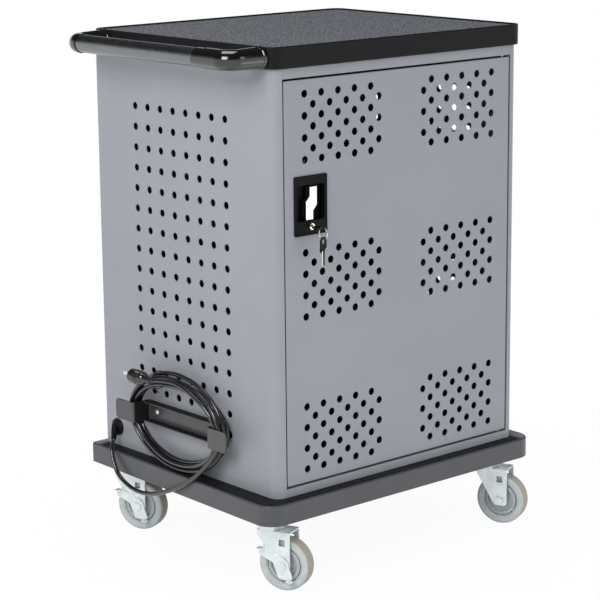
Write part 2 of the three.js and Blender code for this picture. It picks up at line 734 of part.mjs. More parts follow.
// A key drawn flat in (x, y) with its eye towards -Y; the head tapers into the shank
function keyOutline(shankLength) {
  const head = KEY_HEAD_WIDTH / 2;
  const shank = KEY_SHANK_WIDTH / 2;
  const corner = KEY_HEAD_WIDTH / 4;
  const shape = outline([
    [-shank, 0],
    [-shank, -shankLength],
    [-head, -shankLength - corner],
    [-head, -shankLength - KEY_HEAD_LENGTH + corner],
    [-head + corner, -shankLength - KEY_HEAD_LENGTH],
    [head - corner, -shankLength - KEY_HEAD_LENGTH],
    [head, -shankLength - KEY_HEAD_LENGTH + corner],
    [head, -shankLength - corner],
    [shank, -shankLength],
    [shank, 0],
  ]);
  const eye = -shankLength - KEY_HEAD_LENGTH + KEY_EYE_MARGIN + KEY_EYE_DIAMETER / 2;
  shape.holes.push(polygonRound(0, eye, KEY_EYE_DIAMETER / 2, ROUND_SIDES));
  return shape;
}

function keyGeometry(shankLength) {
  return extrude(keyOutline(shankLength), KEY_HEAD_THICKNESS).translate(0, 0, -KEY_HEAD_THICKNESS / 2);
}

const keyTip = cylinderFront - SEAT_GAP - KEY_SHANK_LENGTH - KEY_HEAD_LENGTH;
const keyEye = { x: dishX, y: keyTip + KEY_EYE_MARGIN + KEY_EYE_DIAMETER / 2, z: cylinderZ };
const ringRadius = (RING_DIAMETER - RING_WIRE) / 2;
const ringHalfChord = (KEY_EYE_MARGIN + KEY_EYE_DIAMETER) / 2 + RUNNING_GAP;
const ringCentreY = keyTip + KEY_EYE_MARGIN / 2;
const ringCentreZ = cylinderZ - Math.sqrt(ringRadius ** 2 - ringHalfChord ** 2);

function doorKey() {
  return solidFrom(keyGeometry(KEY_SHANK_LENGTH).translate(dishX, cylinderFront - SEAT_GAP, cylinderZ));
}

function keyRing() {
  const ring = new THREE.TorusGeometry(ringRadius, RING_WIRE / 2, 4, 12).rotateY(Math.PI / 2);
  return solidFrom(ring.translate(keyEye.x, ringCentreY, ringCentreZ));
}

// The spare key hangs by its eye from the bottom of the ring, turned to face the door
function spareKey() {
  const hang = ringCentreZ - ringRadius + RING_WIRE / 2 + 2 * SEAT_GAP - KEY_EYE_DIAMETER / 2;
  const eyeToShank = KEY_HEAD_LENGTH - KEY_EYE_MARGIN - KEY_EYE_DIAMETER / 2;
  const key = keyGeometry(KEY_BLADE_LENGTH).rotateX(-Math.PI / 2).rotateZ(THREE.MathUtils.degToRad(SPARE_KEY_TURN));
  return solidFrom(key.translate(keyEye.x, ringCentreY, hang - eyeToShank - KEY_BLADE_LENGTH));
}

// Tray, mat and push handle
const trayWidth = BODY_WIDTH + 2 * TRAY_OVERHANG;
const trayDepth = BODY_DEPTH + 2 * TRAY_OVERHANG;
const trayFloor = trayTop - TRAY_RECESS;

function topTray() {
  const shell = slabZ(roundedRectangle(trayWidth, trayDepth, TRAY_CORNER_RADIUS), trayBottom, trayTop);
  const radius = TRAY_CORNER_RADIUS - TRAY_RIM;
  const recess = roundedRectangle(trayWidth - 2 * TRAY_RIM, trayDepth - 2 * TRAY_RIM, radius);
  const hollow = rectangle(0, 0, trayWidth - 2 * TRAY_RIM, trayDepth - 2 * TRAY_RIM);
  const above = slabZ(recess, trayFloor, trayTop + 1);
  const below = slabZ(hollow, trayBottom - 1, trayFloor - TRAY_WALL);
  return cut(shell, above, below);
}

function trayMat() {
  const inset = 2 * (TRAY_RIM + MAT_MARGIN);
  const radius = TRAY_CORNER_RADIUS - TRAY_RIM - MAT_MARGIN;
  const sheet = roundedRectangle(trayWidth - inset, trayDepth - inset, radius);
  return slabZ(sheet, trayFloor + SEAT_GAP, trayFloor + SEAT_GAP + MAT_THICKNESS);
}

const handleX = -trayWidth / 2 - HANDLE_REACH;
const handleZ = (trayBottom + trayTop) / 2;

function handleGrip() {
  const half = GRIP_LENGTH / 2;
  const line = new THREE.LineCurve3(
    at(handleX, GRIP_CENTRE_Y - half, handleZ),
    at(handleX, GRIP_CENTRE_Y + half, handleZ),
  );
  return tube(line, GRIP_DIAMETER, TUBE_SIDES, 1);
}

// One elbow: a short sleeve on the grip, a quarter bend and a straight arm to the tray's side
function handleElbow(side) {
  const arm = HANDLE_CENTRE_Y + (HANDLE_SPREAD / 2) * side;
  const bendStart = arm - ELBOW_BEND_RADIUS * side;
  const bow = 0.5523 * ELBOW_BEND_RADIUS;
  const path = new THREE.CurvePath();
  const sleeveEnd = GRIP_CENTRE_Y + (GRIP_LENGTH / 2 + SEAT_GAP) * side;
  const afterBend = handleX + ELBOW_BEND_RADIUS;
  path.add(new THREE.LineCurve3(at(handleX, sleeveEnd, handleZ), at(handleX, bendStart, handleZ)));
  path.add(new THREE.CubicBezierCurve3(
    at(handleX, bendStart, handleZ),
    at(handleX, bendStart + bow * side, handleZ),
    at(afterBend - bow, arm, handleZ),
    at(afterBend, arm, handleZ),
  ));
  path.add(new THREE.LineCurve3(at(afterBend, arm, handleZ), at(-trayWidth / 2 - SEAT_GAP, arm, handleZ)));
  return tube(path, ELBOW_DIAMETER, TUBE_SIDES, ELBOW_STEPS);
}

// Cord bracket: one strip bent into a back plate, two arms and two lips turned away from each other
function cordHook() {
  const wall = -halfWidth - SEAT_GAP;
  const lip = wall - HOOK_REACH;
  const rear = HOOK_CENTRE_Y + HOOK_LENGTH / 2;
  const front = HOOK_CENTRE_Y - HOOK_LENGTH / 2;
  const strip = outline([
    [wall, front],
    [wall, rear],
    [lip + HOOK_SHEET, rear],
    [lip + HOOK_SHEET, rear + HOOK_LIP],
    [lip, rear + HOOK_LIP],
    [lip, rear - HOOK_SHEET],
    [wall - HOOK_SHEET, rear - HOOK_SHEET],
    [wall - HOOK_SHEET, front + HOOK_SHEET],
    [lip, front + HOOK_SHEET],
    [lip, front - HOOK_LIP],
    [lip + HOOK_SHEET, front - HOOK_LIP],
    [lip + HOOK_SHEET, front],
  ]);
  return slabZ(strip, HOOK_BOTTOM, HOOK_BOTTOM + HOOK_HEIGHT);
}

// Gland: a dome on the side panel with a tapered nozzle that turns the lead down, outwards and forwards
const glandTilt = THREE.MathUtils.degToRad(GLAND_TILT);
const glandWall = -halfWidth - SEAT_GAP;
const glandRoot = at(glandWall - GLAND_NOZZLE_RISE, GLAND_Y, GLAND_Z);
const glandSwing = THREE.MathUtils.degToRad(GLAND_SWING);
const nozzleWay = at(
  -Math.sin(glandTilt) * Math.cos(glandSwing),
  -Math.sin(glandTilt) * Math.sin(glandSwing),
  -Math.cos(glandTilt),
);
const nozzleEnd = glandRoot.clone().addScaledVector(nozzleWay, GLAND_NOZZLE_LENGTH);

function cordGland() {
  const radius = GLAND_DIAMETER / 2;
  const dome = revolveX([[0, 0], [radius, 0], [radius, -GLAND_DOME / 3], [radius / 2, -GLAND_DOME], [0, -GLAND_DOME]].reverse(), 10);
  const wide = GLAND_NOZZLE_DIAMETER / 2;
  const narrow = CORD_DIAMETER / 2 + 1.5;
  const nozzle = revolve([[0, -GLAND_NOZZLE_LENGTH], [narrow, -GLAND_NOZZLE_LENGTH], [wide, 0], [0, 0]], ROUND_SIDES);
  const placed = nozzle.rotateY(glandTilt).rotateZ(glandSwing).translate(glandRoot.x, glandRoot.y, glandRoot.z);
  return join(solidFrom(dome.translate(glandWall, GLAND_Y, GLAND_Z)), solidFrom(placed));
}

// The lead hangs in a loop from the gland, past the edge of the base, and up into the coil
function leadRoute() {
  const start = nozzleEnd.clone().addScaledVector(nozzleWay, 2 * SEAT_GAP);
  const lead = start.clone().addScaledVector(nozzleWay, CORD_DIAMETER);
  const hung = [
    [-347.5, 199, 176],
    [-351.5, 189.5, 158.8],
    [-354, 172.5, 138],
    [-355, 143.5, 123],
    [-355.5, 107, 116.5],
    [-356, 61, 121.5],
    [-356.5, 12, 138],
    [-356, -30, 157.5],
    [-354, -66, 179],
    [-347, -92, 201],
  ];
  return new THREE.CatmullRomCurve3([start, lead, ...hung.map(([x, y, z]) => at(x, y, z))]);
}

function coilRing(grow) {
  const ring = ellipse(COIL_HALF_LENGTH + grow, COIL_HALF_HEIGHT + grow);
  ring.holes.push(ellipse(COIL_HALF_LENGTH - COIL_BUNDLE - grow, COIL_HALF_HEIGHT - 2 * COIL_BUNDLE - grow));
  const near = -halfWidth - COIL_STANDOFF;
  return slabX(ring, near - COIL_THICKNESS - grow, near + grow);
}

function ellipse(halfLength, halfHeight) {
  const points = [];
  for (let i = 0; i < COIL_SIDES; i += 1) {
    const angle = (2 * Math.PI * i) / COIL_SIDES;
    points.push([COIL_CENTRE_Y + halfLength * Math.cos(angle), COIL_CENTRE_Z + halfHeight * Math.sin(angle)]);
  }
  return outline(points);
}

function powerCord() {
  return cut(tube(leadRoute(), CORD_DIAMETER, CORD_SIDES, CORD_STEPS), coilRing(SEAT_GAP));
}

function powerPlug() {
  const radius = PLUG_DIAMETER / 2;
  const face = PLUG_LENGTH / 2;
  const x = -halfWidth - COIL_STANDOFF - COIL_THICKNESS - SEAT_GAP - radius;
  const profile = [[0, -face - 12], [5.5, -face - 12], [8, -face], [radius, -face + 10], [radius, face], [0, face]];
  const body = solidFrom(revolve(profile, ROUND_SIDES).rotateX(-Math.PI / 2).translate(x, PLUG_Y, PLUG_Z));
  const prongs = [-1, 1].map((side) => {
    const middle = x + (side * PRONG_SPACING) / 2;
    return box(
      middle - PRONG_THICKNESS / 2,
      middle + PRONG_THICKNESS / 2,
      PLUG_Y + face - 1,
      PLUG_Y + face + PRONG_LENGTH,
      PLUG_Z + PRONG_RISE - PRONG_WIDTH / 2,
      PLUG_Z + PRONG_RISE + PRONG_WIDTH / 2,
    );
  });
  const ground = slabY(
    polygon(x, PLUG_Z + PRONG_RISE - GROUND_PIN_DROP, GROUND_PIN_DIAMETER / 2, ROUND_SIDES),
    PLUG_Y + face - 1,
    PLUG_Y + face + PRONG_LENGTH,
  );
  return join(body, ...prongs, ground);
}

// Casters, drawn about the kingpin with the wheel trailing towards the door
const wheelRadius = WHEEL_DIAMETER / 2;
const forkInner = HUB_BOSS_LENGTH / 2 + 1;
const forkOuter = forkInner + FORK_SHEET;
const axleHalf = forkOuter + AXLE_OVERHANG;
const crownHole = KINGPIN_DIAMETER / 2 + RUNNING_GAP;

function casterPlate() {
  const plate = rectangle(0, 0, CASTER_PLATE_WIDTH, CASTER_PLATE_LENGTH);
  const headTop = crownBottom - SEAT_GAP;
  const profile = [
    [0, headTop - KINGPIN_HEAD_HEIGHT],
    [KINGPIN_HEAD_DIAMETER / 2, headTop - KINGPIN_HEAD_HEIGHT],
    [KINGPIN_HEAD_DIAMETER / 2, headTop],
    [KINGPIN_DIAMETER / 2, headTop],
    [KINGPIN_DIAMETER / 2, raceBottom],
    [RACE_DIAMETER / 2, raceBottom],
    [RACE_DIAMETER / 2, plateBottom + 1],
    [0, plateBottom + 1],
  ];
  return join(slabZ(plate, plateBottom, plateTop), solidFrom(revolve(profile, ROUND_SIDES)));
}

function forkLeg(from, to) {
  const front = -CASTER_TRAIL - FORK_FRONT_REACH;
  const foot = wheelRadius - FORK_FOOT_DROP;
  const leg = outline([
    [front, crownTop],
    [front, foot + FORK_FOOT_CORNER],
    [front + FORK_FOOT_CORNER, foot],
    [-CASTER_TRAIL + FORK_FOOT_REAR - FORK_FOOT_CORNER, foot],
    [-CASTER_TRAIL + FORK_FOOT_REAR, foot + FORK_FOOT_CORNER],
    [FORK_REAR_REACH, crownBottom - FORK_SHEET],
    [FORK_REAR_REACH, crownTop],
  ]);
  leg.holes.push(polygonRound(-CASTER_TRAIL, wheelRadius, AXLE_DIAMETER / 2 + SEAT_GAP, ROUND_SIDES));
  leg.holes.push(rectangle(-CASTER_TRAIL, wheelRadius + FORK_WINDOW_RISE, FORK_WINDOW, FORK_WINDOW));
  return slabX(leg, from, to);
}

function casterFork() {
  const front = -CASTER_TRAIL - FORK_FRONT_REACH;
  const crown = rectangle(0, (FORK_REAR_REACH + front) / 2, 2 * forkOuter, FORK_REAR_REACH - front);
  crown.holes.push(polygonRound(0, 0, crownHole, ROUND_SIDES));
  return join(slabZ(crown, crownBottom, crownTop), forkLeg(-forkOuter, -forkInner), forkLeg(forkInner, forkOuter));
}

function casterAxle() {
  return slabX(polygon(-CASTER_TRAIL, wheelRadius, AXLE_DIAMETER / 2, ROUND_SIDES), -axleHalf, axleHalf);
}

function wheelHub() {
  const bore = (AXLE_DIAMETER / 2 + RUNNING_GAP) / Math.cos(Math.PI / WHEEL_SIDES);
  const profile = closed([
    [bore, -HUB_BOSS_LENGTH / 2],
    [HUB_BOSS_DIAMETER / 2, -HUB_BOSS_LENGTH / 2],
    [HUB_DIAMETER / 2, -HUB_RIM_WIDTH / 2],
    [HUB_DIAMETER / 2, HUB_RIM_WIDTH / 2],
    [HUB_BOSS_DIAMETER / 2, HUB_BOSS_LENGTH / 2],
    [bore, HUB_BOSS_LENGTH / 2],
  ]);
  return solidFrom(revolveX(profile, WHEEL_SIDES).translate(0, -CASTER_TRAIL, wheelRadius));
}

function wheelTyre() {
  const reach = wheelRadius / Math.cos(Math.PI / WHEEL_SIDES);
  const seat = HUB_DIAMETER / 2 + SEAT_GAP;
  const profile = closed([
    [seat, -HUB_RIM_WIDTH / 2],
    [reach - TYRE_SHOULDER, -TYRE_WIDTH / 2],
    [reach, -TYRE_WIDTH / 2 + TYRE_SHOULDER],
    [reach, TYRE_WIDTH / 2 - TYRE_SHOULDER],
    [reach - TYRE_SHOULDER, TYRE_WIDTH / 2],
    [seat, HUB_RIM_WIDTH / 2],
  ]);
  return solidFrom(revolveX(profile, WHEEL_SIDES).translate(0, -CASTER_TRAIL, wheelRadius));
}

// Brake lever outside the left fork leg: an eye on the axle, a pedal up behind, a tail down in front
function brakeLever() {
  const near = -forkOuter - SEAT_GAP;
  const far = near - BRAKE_SHEET;
  const y = -CASTER_TRAIL;
  const z = wheelRadius;
  const eye = BRAKE_EYE_RADIUS;
  const pedalTop = z + BRAKE_PEDAL_RISE;
  const pedalEnd = y + BRAKE_PEDAL_REACH;
  const lever = outline([
    [y - eye * 0.7, z + eye * 0.6],
    [y - BRAKE_TAIL_REACH, z - BRAKE_TAIL_DROP + eye / 3],
    [y - BRAKE_TAIL_REACH + eye / 4, z - BRAKE_TAIL_DROP],
    [y + eye / 3, z - BRAKE_TAIL_DROP + eye / 6],
    [y + eye, z + eye / 3],
    [pedalEnd, pedalTop - BRAKE_ARM_WIDTH],
    [pedalEnd, pedalTop],
    [pedalEnd - BRAKE_PEDAL_WIDTH, pedalTop],
    [y + eye / 2, z + eye],
    [y - eye / 4, z + eye],
  ]);
  lever.holes.push(polygonRound(y, z, AXLE_DIAMETER / 2 + RUNNING_GAP, ROUND_SIDES));
  const pedal = rectangle(pedalEnd - BRAKE_PEDAL_WIDTH / 2, pedalTop - BRAKE_SHEET / 2, BRAKE_PEDAL_WIDTH, BRAKE_SHEET);
  return join(slabX(lever, far, near), slabX(pedal, far - BRAKE_PEDAL_LENGTH, near));
}

function caster(place, x, y, braked) {
  const turn = THREE.MathUtils.degToRad(CASTER_TURN);
  const fork = pivot(`swivel_${place}`, 0, 0, 0,
    piece(`caster_fork_${place}`, casterFork(), zinc),
    piece(`caster_axle_${place}`, casterAxle(), zinc));
  fork.add(pivot(`wheel_${place}`, 0, -CASTER_TRAIL, wheelRadius,
    piece(`wheel_hub_${place}`, wheelHub(), greyPlastic),
    piece(`wheel_tyre_${place}`, wheelTyre(), greyRubber)));
  if (braked) {
    fork.add(pivot(`brake_${place}`, 0, -CASTER_TRAIL, wheelRadius,
      piece(`brake_lever_${place}`, brakeLever(), zinc)));
  }
  fork.rotation.z = turn;
  const group = new THREE.Group();
  group.position.set(x, y, 0);
  group.add(piece(`caster_plate_${place}`, casterPlate(), zinc), fork);
  return group;
}

// Assembly
const cart = new THREE.Group();
cart.name = 'laptop_charging_cart';
cart.add(
  piece('base_pan', basePan(), blackEnamel),
  piece('left_side_panel', sidePanel(-1), greyEnamel),
  piece('right_side_panel', sidePanel(1), greyEnamel),
  piece('front_post_left', cornerPost(-1), greyEnamel),
  piece('front_post_right', cornerPost(1), greyEnamel),
  piece('floor_panel', floorPanel(), greyEnamel),
  piece('top_panel', topPanel(), greyEnamel),
  piece('rear_jamb_left', rearJamb(-1, rearStop), greyEnamel),
  piece('rear_jamb_right', rearJamb(1, rearHinge.y - rearSwing), greyEnamel),
  piece('mid_shelf', midShelf(), greyEnamel),
  piece('bay_partition', bayPartition(), greyEnamel),
  piece('upper_divider_rack', dividerRack(shelfTop), blackPlastic),
  piece('lower_divider_rack', dividerRack(floorTop), blackPlastic),
  piece('upper_power_strip', powerStrip(shelfTop), blackPlastic),
  piece('lower_power_strip', powerStrip(floorTop), blackPlastic),
  piece('top_tray', topTray(), blackPlastic),
  piece('tray_mat', trayMat(), matRubber),
  piece('handle_grip', handleGrip(), gripSatin),
  piece('handle_elbow_front', handleElbow(-1), blackPlastic),
  piece('handle_elbow_rear', handleElbow(1), blackPlastic),
  piece('cord_hook', cordHook(), blackEnamel),
);

const rails = { left: -1, right: 1 };
for (const [name, side] of Object.entries(rails)) {
  const rail = piece(`base_rail_${name}`, baseRail(), zinc);
  rail.position.x = side * casterX;
  cart.add(rail);
}

const corners = { front_left: [-1, -1], front_right: [1, -1], rear_left: [-1, 1], rear_right: [1, 1] };
for (const [place, [x, y]] of Object.entries(corners)) {
  const shift = y < 0 ? CASTER_FRONT_SHIFT : 0;
  cart.add(caster(place, x * casterX + shift, y < 0 ? casterFrontY : casterRearY, x < 0));
}

const door = pivot('front_door_hinge', frontHinge.x, frontHinge.y, 0,
  piece('front_door', frontDoor(), greyEnamel),
  piece('lock_dish', lockDish(), blackPlastic));
const handle = pivot('turn_handle', dishX, -halfDepth, leverZ,
  piece('turn_handle', turnHandle(), chrome),
  piece('latch_cam', latchCam(), zinc));
const lock = pivot('lock_turn', dishX, -halfDepth, cylinderZ,
  piece('lock_cylinder', lockCylinder(), chrome),
  piece('door_key', doorKey(), blackPlastic));
const ring = pivot('key_ring_swing', keyEye.x, keyEye.y, keyEye.z,
  piece('key_ring', keyRing(), chrome),
  piece('spare_key', spareKey(), blackPlastic));
ring.position.sub(at(dishX, -halfDepth, cylinderZ));
lock.add(ring);
for (const group of [handle, lock]) {
  group.position.sub(at(frontHinge.x, frontHinge.y, 0));
  door.add(group);
}

const backDoor = pivot('rear_door_hinge', rearHinge.x, rearHinge.y, 0,
  piece('rear_door', rearDoor(), greyEnamel));
const backLock = pivot('rear_lock_turn', rearLock.x, rearLock.y, rearLock.z,
  piece('rear_lock', rearLockBarrel(), chrome));
backLock.position.sub(at(rearHinge.x, rearHinge.y, 0));
backDoor.add(backLock);
cart.add(door, backDoor);

// The origin is on the floor, in the middle of the cart and its handle; the lead is left out of that
const extent = new THREE.Box3().setFromObject(cart, true);
cart.add(
  piece('cord_gland', cordGland(), blackRubber),
  piece('power_cord', powerCord(), blackRubber),
  piece('cord_coil', coilRing(0), blackRubber),
  piece('power_plug', powerPlug(), blackRubber),
);
const middle = extent.getCenter(new THREE.Vector3());
cart.position.set(-middle.x, -middle.y, 0);

export default cart;
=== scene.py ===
"""A laptop charging cart: the visible pieces in the order in which the cart is put together."""
import math
import bpy
from mathutils import Matrix, Vector


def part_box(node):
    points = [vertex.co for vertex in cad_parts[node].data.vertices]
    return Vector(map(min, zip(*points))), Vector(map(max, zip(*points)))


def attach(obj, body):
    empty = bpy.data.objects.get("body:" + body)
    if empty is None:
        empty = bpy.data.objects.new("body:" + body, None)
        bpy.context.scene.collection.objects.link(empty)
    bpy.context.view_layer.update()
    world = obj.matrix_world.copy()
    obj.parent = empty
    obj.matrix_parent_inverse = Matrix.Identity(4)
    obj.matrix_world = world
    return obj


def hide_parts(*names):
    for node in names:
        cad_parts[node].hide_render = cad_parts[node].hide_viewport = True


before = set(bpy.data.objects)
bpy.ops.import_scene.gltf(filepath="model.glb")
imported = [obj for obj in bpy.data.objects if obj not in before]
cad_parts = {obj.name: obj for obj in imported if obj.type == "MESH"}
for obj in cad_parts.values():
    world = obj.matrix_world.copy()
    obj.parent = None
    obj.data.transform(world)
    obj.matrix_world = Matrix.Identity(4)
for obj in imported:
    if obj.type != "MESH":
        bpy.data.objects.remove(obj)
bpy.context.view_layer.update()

# Camera: a long lens off the front left corner of the cart, a little above its tray and looking
# slightly down. Places are given in millimetres from the middle of the cabinet, at floor level.
MM = 0.001
CAMERA_SPOT = (-2668.6, -3065.4, 1372.7)
CAMERA_TURN = -40.77
CAMERA_DOWN = 12.66
CAMERA_LEAN = -0.56
LENS = 126.32
SENSOR = 36
SIGHT = 60
tray_low, tray_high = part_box("top_tray")
cabinet_middle = (tray_low + tray_high) / 2


def place(x, y, z):
    """A point of the frame, from millimetres off the middle of the cabinet."""
    return Vector((x * MM + cabinet_middle.x, y * MM + cabinet_middle.y, z * MM))


camera_turn = Matrix.Rotation(math.radians(CAMERA_TURN), 4, "Z")
camera_tilt = Matrix.Rotation(math.radians(90 - CAMERA_DOWN), 4, "X")
camera_lean = Matrix.Rotation(math.radians(CAMERA_LEAN), 4, "Z")
bpy.ops.object.camera_add()
camera = bpy.context.object
camera.name = "camera"
camera.data.lens = LENS
camera.data.sensor_width = SENSOR
camera.data.clip_end = SIGHT
camera_spot = Matrix.Translation(place(*CAMERA_SPOT))
camera.matrix_world = camera_spot @ camera_turn @ camera_tilt @ camera_lean
bpy.context.scene.camera = camera
bpy.context.scene.view_settings.view_transform = "Standard"

# Mains lead: one flexible round cable in a glossy black rubber jacket. It leaves the gland at the
# back, hangs in a loop past the base, is wound on the bracket in four loose turns and ends in its
# plug, which a wire tie holds to the turns.
CORD_DIAMETER = 8.5
COIL_MIDDLE = (3, 273)
WIND_START = -140
WIND_END = -1680
WIND_STEP = 15


def linear(code):
    """A written sRGB colour as the linear one that a shader takes."""
    parts = [int(code[i:i + 2], 16) / 255 for i in (0, 2, 4)]
    return (*[p / 12.92 if p <= 0.04045 else ((p + 0.055) / 1.055) ** 2.4 for p in parts], 1)


def add_node(tree, kind, inputs=None, **settings):
    """One shader node with its settings; each input is a value, or a socket to link."""
    node = tree.nodes.new("ShaderNode" + kind)
    for key, value in settings.items():
        setattr(node, key, value)
    for key, value in (inputs or {}).items():
        if isinstance(value, bpy.types.NodeSocket):
            tree.links.new(value, node.inputs[key])
        else:
            node.inputs[key].default_value = value
    return node


def new_finish(name, **values):
    """A material with its surface shader set; underscores in the names stand for spaces."""
    finish = bpy.data.materials.new(name)
    finish.use_nodes = True
    tree = finish.node_tree
    tree.nodes.clear()
    surface = add_node(tree, "BsdfPrincipled", {k.replace("_", " "): v for k, v in values.items()})
    add_node(tree, "OutputMaterial", {"Surface": surface.outputs["BSDF"]})
    return finish, tree, surface


def cells(size):
    """The scale of a pattern whose cells are this many millimetres across."""
    return 1 / (size * MM)


def mottle(tree, size, detail=3.0, stretch=(1, 1, 1)):
    """An even noise over the piece's own coordinates, with patches of this many millimetres."""
    spot = add_node(tree, "TexCoord").outputs["Object"]
    spread = add_node(tree, "Mapping", {"Vector": spot, "Scale": stretch})
    noise = add_node(
        tree,
        "TexNoise",
        {"Vector": spread.outputs["Vector"], "Scale": cells(size), "Detail": detail},
    )
    return noise.outputs["Fac"]


def between(tree, value, low, high, start=0.3, stop=0.7):
    """Turns a pattern value into one between low and high."""
    limits = {"Value": value, "From Min": start, "From Max": stop, "To Min": low, "To Max": high}
    return add_node(tree, "MapRange", limits).outputs["Result"]


def two_tone(tree, value, first, second):
    """Blends two written colours by a pattern value."""
    tones = {"Factor": value, 6: linear(first), 7: linear(second)}
    return add_node(tree, "Mix", tones, data_type="RGBA").outputs[2]


def relief(tree, surface, value, depth):
    """Raises the surface by a pattern value, this many millimetres at most."""
    bump = add_node(tree, "Bump", {"Height": value, "Distance": depth * MM, "Strength": 1.0})
    tree.links.new(bump.outputs["Normal"], surface.inputs["Normal"])


# Rubber jacket: near black, with a clear sheen that breaks up where it has been handled.
cord_rubber, tree, surface = new_finish("cord_rubber_jacket", Specular_IOR_Level=1.0)
handled = mottle(tree, 18)
tree.links.new(two_tone(tree, handled, "161618", "222225"), surface.inputs["Base Color"])
tree.links.new(between(tree, handled, 0.12, 0.2), surface.inputs["Roughness"])
relief(tree, surface, mottle(tree, 1.2), 0.05)

# The free part of the lead, from the nozzle of the gland down past the base and up to the bracket.
lead_route = [
    (-334.4, 210.6, 193.9),
    (-339.2, 206.3, 188.1),
    (-347.5, 199, 176),
    (-351.5, 189.5, 158.8),
    (-354, 172.5, 138),
    (-355, 143.5, 123),
    (-355.5, 107, 116.5),
    (-356, 61, 121.5),
    (-356.5, 12, 138),
    (-356, -30, 157.5),
    (-354, -66, 180),
]
# Each quarter turn of the winding: half the coil's length at its ends or half its height at its top
# and bottom, and how far the strand stands out from the cabinet there.
quarters = [
    (-140, 138.5, 92.5, -348),
    (-180, 138.5, 88.0, -343),
    (-270, 138.5, 84.0, -341),
    (-360, 138.5, 88.5, -339),
    (-450, 138.5, 93.0, -334),
    (-540, 138.5, 92.7, -332),
    (-630, 138.5, 92.5, -332),
    (-720, 138.5, 88.5, -330),
    (-810, 138.5, 84.5, -327),
    (-900, 138.5, 78.2, -323),
    (-990, 134.0, 72.0, -324),
    (-1080, 130.5, 74.0, -326),
    (-1170, 130.5, 76.0, -330),
    (-1260, 130.5, 69.5, -330),
    (-1350, 130.5, 67.5, -331.5),
    (-1440, 130.5, 74.5, -336),
    (-1530, 130.5, 82.0, -338),
    (-1620, 129.0, 82.5, -344),
    (-1710, 130.5, 78.0, -352),
]
wound = []
for angle in range(WIND_START, WIND_END - 1, -WIND_STEP):
    for before, after in zip(quarters, quarters[1:]):
        if before[0] >= angle >= after[0]:
            share = (before[0] - angle) / (before[0] - after[0])
            share = share * share * (3 - 2 * share)
            across, rise, out = [a + (b - a) * share for a, b in zip(before[1:], after[1:])]
    y = COIL_MIDDLE[0] + across * math.cos(math.radians(angle))
    z = COIL_MIDDLE[1] + rise * math.sin(math.radians(angle))
    wound.append((out, y, z))
# The last stretch, over the top of the turns and into the tail of the plug.
plug_end = [
    (-352, -20, 355),
    (-355.5, 2, 356),
    (-359.5, 24, 354.4),
    (-362.6, 42, 352),
    (-363.3, 56, 351),
    (-363.3, 66, 351),
]
route = [place(*point) for point in lead_route + wound + plug_end]
lead_line = bpy.data.curves.new("mains_lead", "CURVE")
lead_line.dimensions = "3D"
lead_line.resolution_u = 6
lead_line.bevel_depth = CORD_DIAMETER / 2 * MM
lead_line.bevel_resolution = 4
lead_line.use_fill_caps = True
run = lead_line.splines.new("BEZIER")
run.bezier_points.add(len(route) - 1)
for knot, point in zip(run.bezier_points, route):
    knot.co = point
    knot.handle_left_type = "AUTO"
    knot.handle_right_type = "AUTO"
mains_lead = bpy.data.objects.new("mains_lead", lead_line)
bpy.context.collection.objects.link(mains_lead)
lead_line.materials.append(cord_rubber)
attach(mains_lead, "cabinet")
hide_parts("power_cord", "cord_coil")

# Studio: a plain pale floor under soft light. The floor and the sky are white to the camera and
# in reflections, and the floor still takes the cart's soft shadow.
world = bpy.data.worlds.new("studio")
bpy.context.scene.world = world
world.use_nodes = True
tree = world.node_tree
tree.nodes.clear()


def seen_directly(tree):
    """One for rays from the camera, off a gloss or through glass, and zero for the rest."""
    rays = add_node(tree, "LightPath")
    shiny = add_node(
        tree,
        "Math",
        {0: rays.outputs["Is Glossy Ray"], 1: rays.outputs["Is Transmission Ray"]},
        operation="MAXIMUM",
    )
    either = {0: rays.outputs["Is Camera Ray"], 1: shiny.outputs[0]}
    return add_node(tree, "Math", either, operation="MAXIMUM").outputs[0]


SKY_LIGHT = 0.66
CEILING_LIGHT = 0.04
CEILING_FADE = (0.03, 0.34)
FLOOR_SIZE = 14
FLOOR_WHITENESS = (0.95, 1.0)
FLOOR_FADE = (0.3, 1.1)
gaze = add_node(tree, "SeparateXYZ", {0: add_node(tree, "TexCoord").outputs["Generated"]})
shown = between(tree, gaze.outputs["Z"], 1.0, CEILING_LIGHT, *CEILING_FADE)
sky_level = {"Value": seen_directly(tree), "To Min": SKY_LIGHT, "To Max": shown}
sky = add_node(
    tree,
    "Background",
    {"Color": (1, 1, 1, 1), "Strength": add_node(tree, "MapRange", sky_level).outputs["Result"]},
)
add_node(tree, "OutputWorld", {"Surface": sky.outputs["Background"]})

bpy.ops.object.select_all(action="DESELECT")
bpy.ops.mesh.primitive_plane_add(size=FLOOR_SIZE, location=place(0, 0, 0))
studio_floor = bpy.context.object
studio_floor.name = "studio_floor"
floor_finish = bpy.data.materials.new("pale_floor")
floor_finish.use_nodes = True
tree = floor_finish.node_tree
tree.nodes.clear()
paint = add_node(tree, "BsdfDiffuse", {"Color": linear("f4f4f3")})
glow = add_node(tree, "Emission", {"Color": (1, 1, 1, 1), "Strength": 1.0})
spot = add_node(tree, "TexCoord").outputs["Object"]
far = add_node(tree, "VectorMath", {0: spot}, operation="LENGTH").outputs["Value"]
whiteness = between(tree, far, *FLOOR_WHITENESS, *FLOOR_FADE)
lift = add_node(tree, "Math", {0: seen_directly(tree), 1: whiteness}, operation="MULTIPLY").outputs[0]
blend = {"Fac": lift, 1: paint.outputs["BSDF"], 2: glow.outputs["Emission"]}
add_node(tree, "OutputMaterial", {"Surface": add_node(tree, "MixShader", blend).outputs["Shader"]})
studio_floor.data.materials.append(floor_finish)


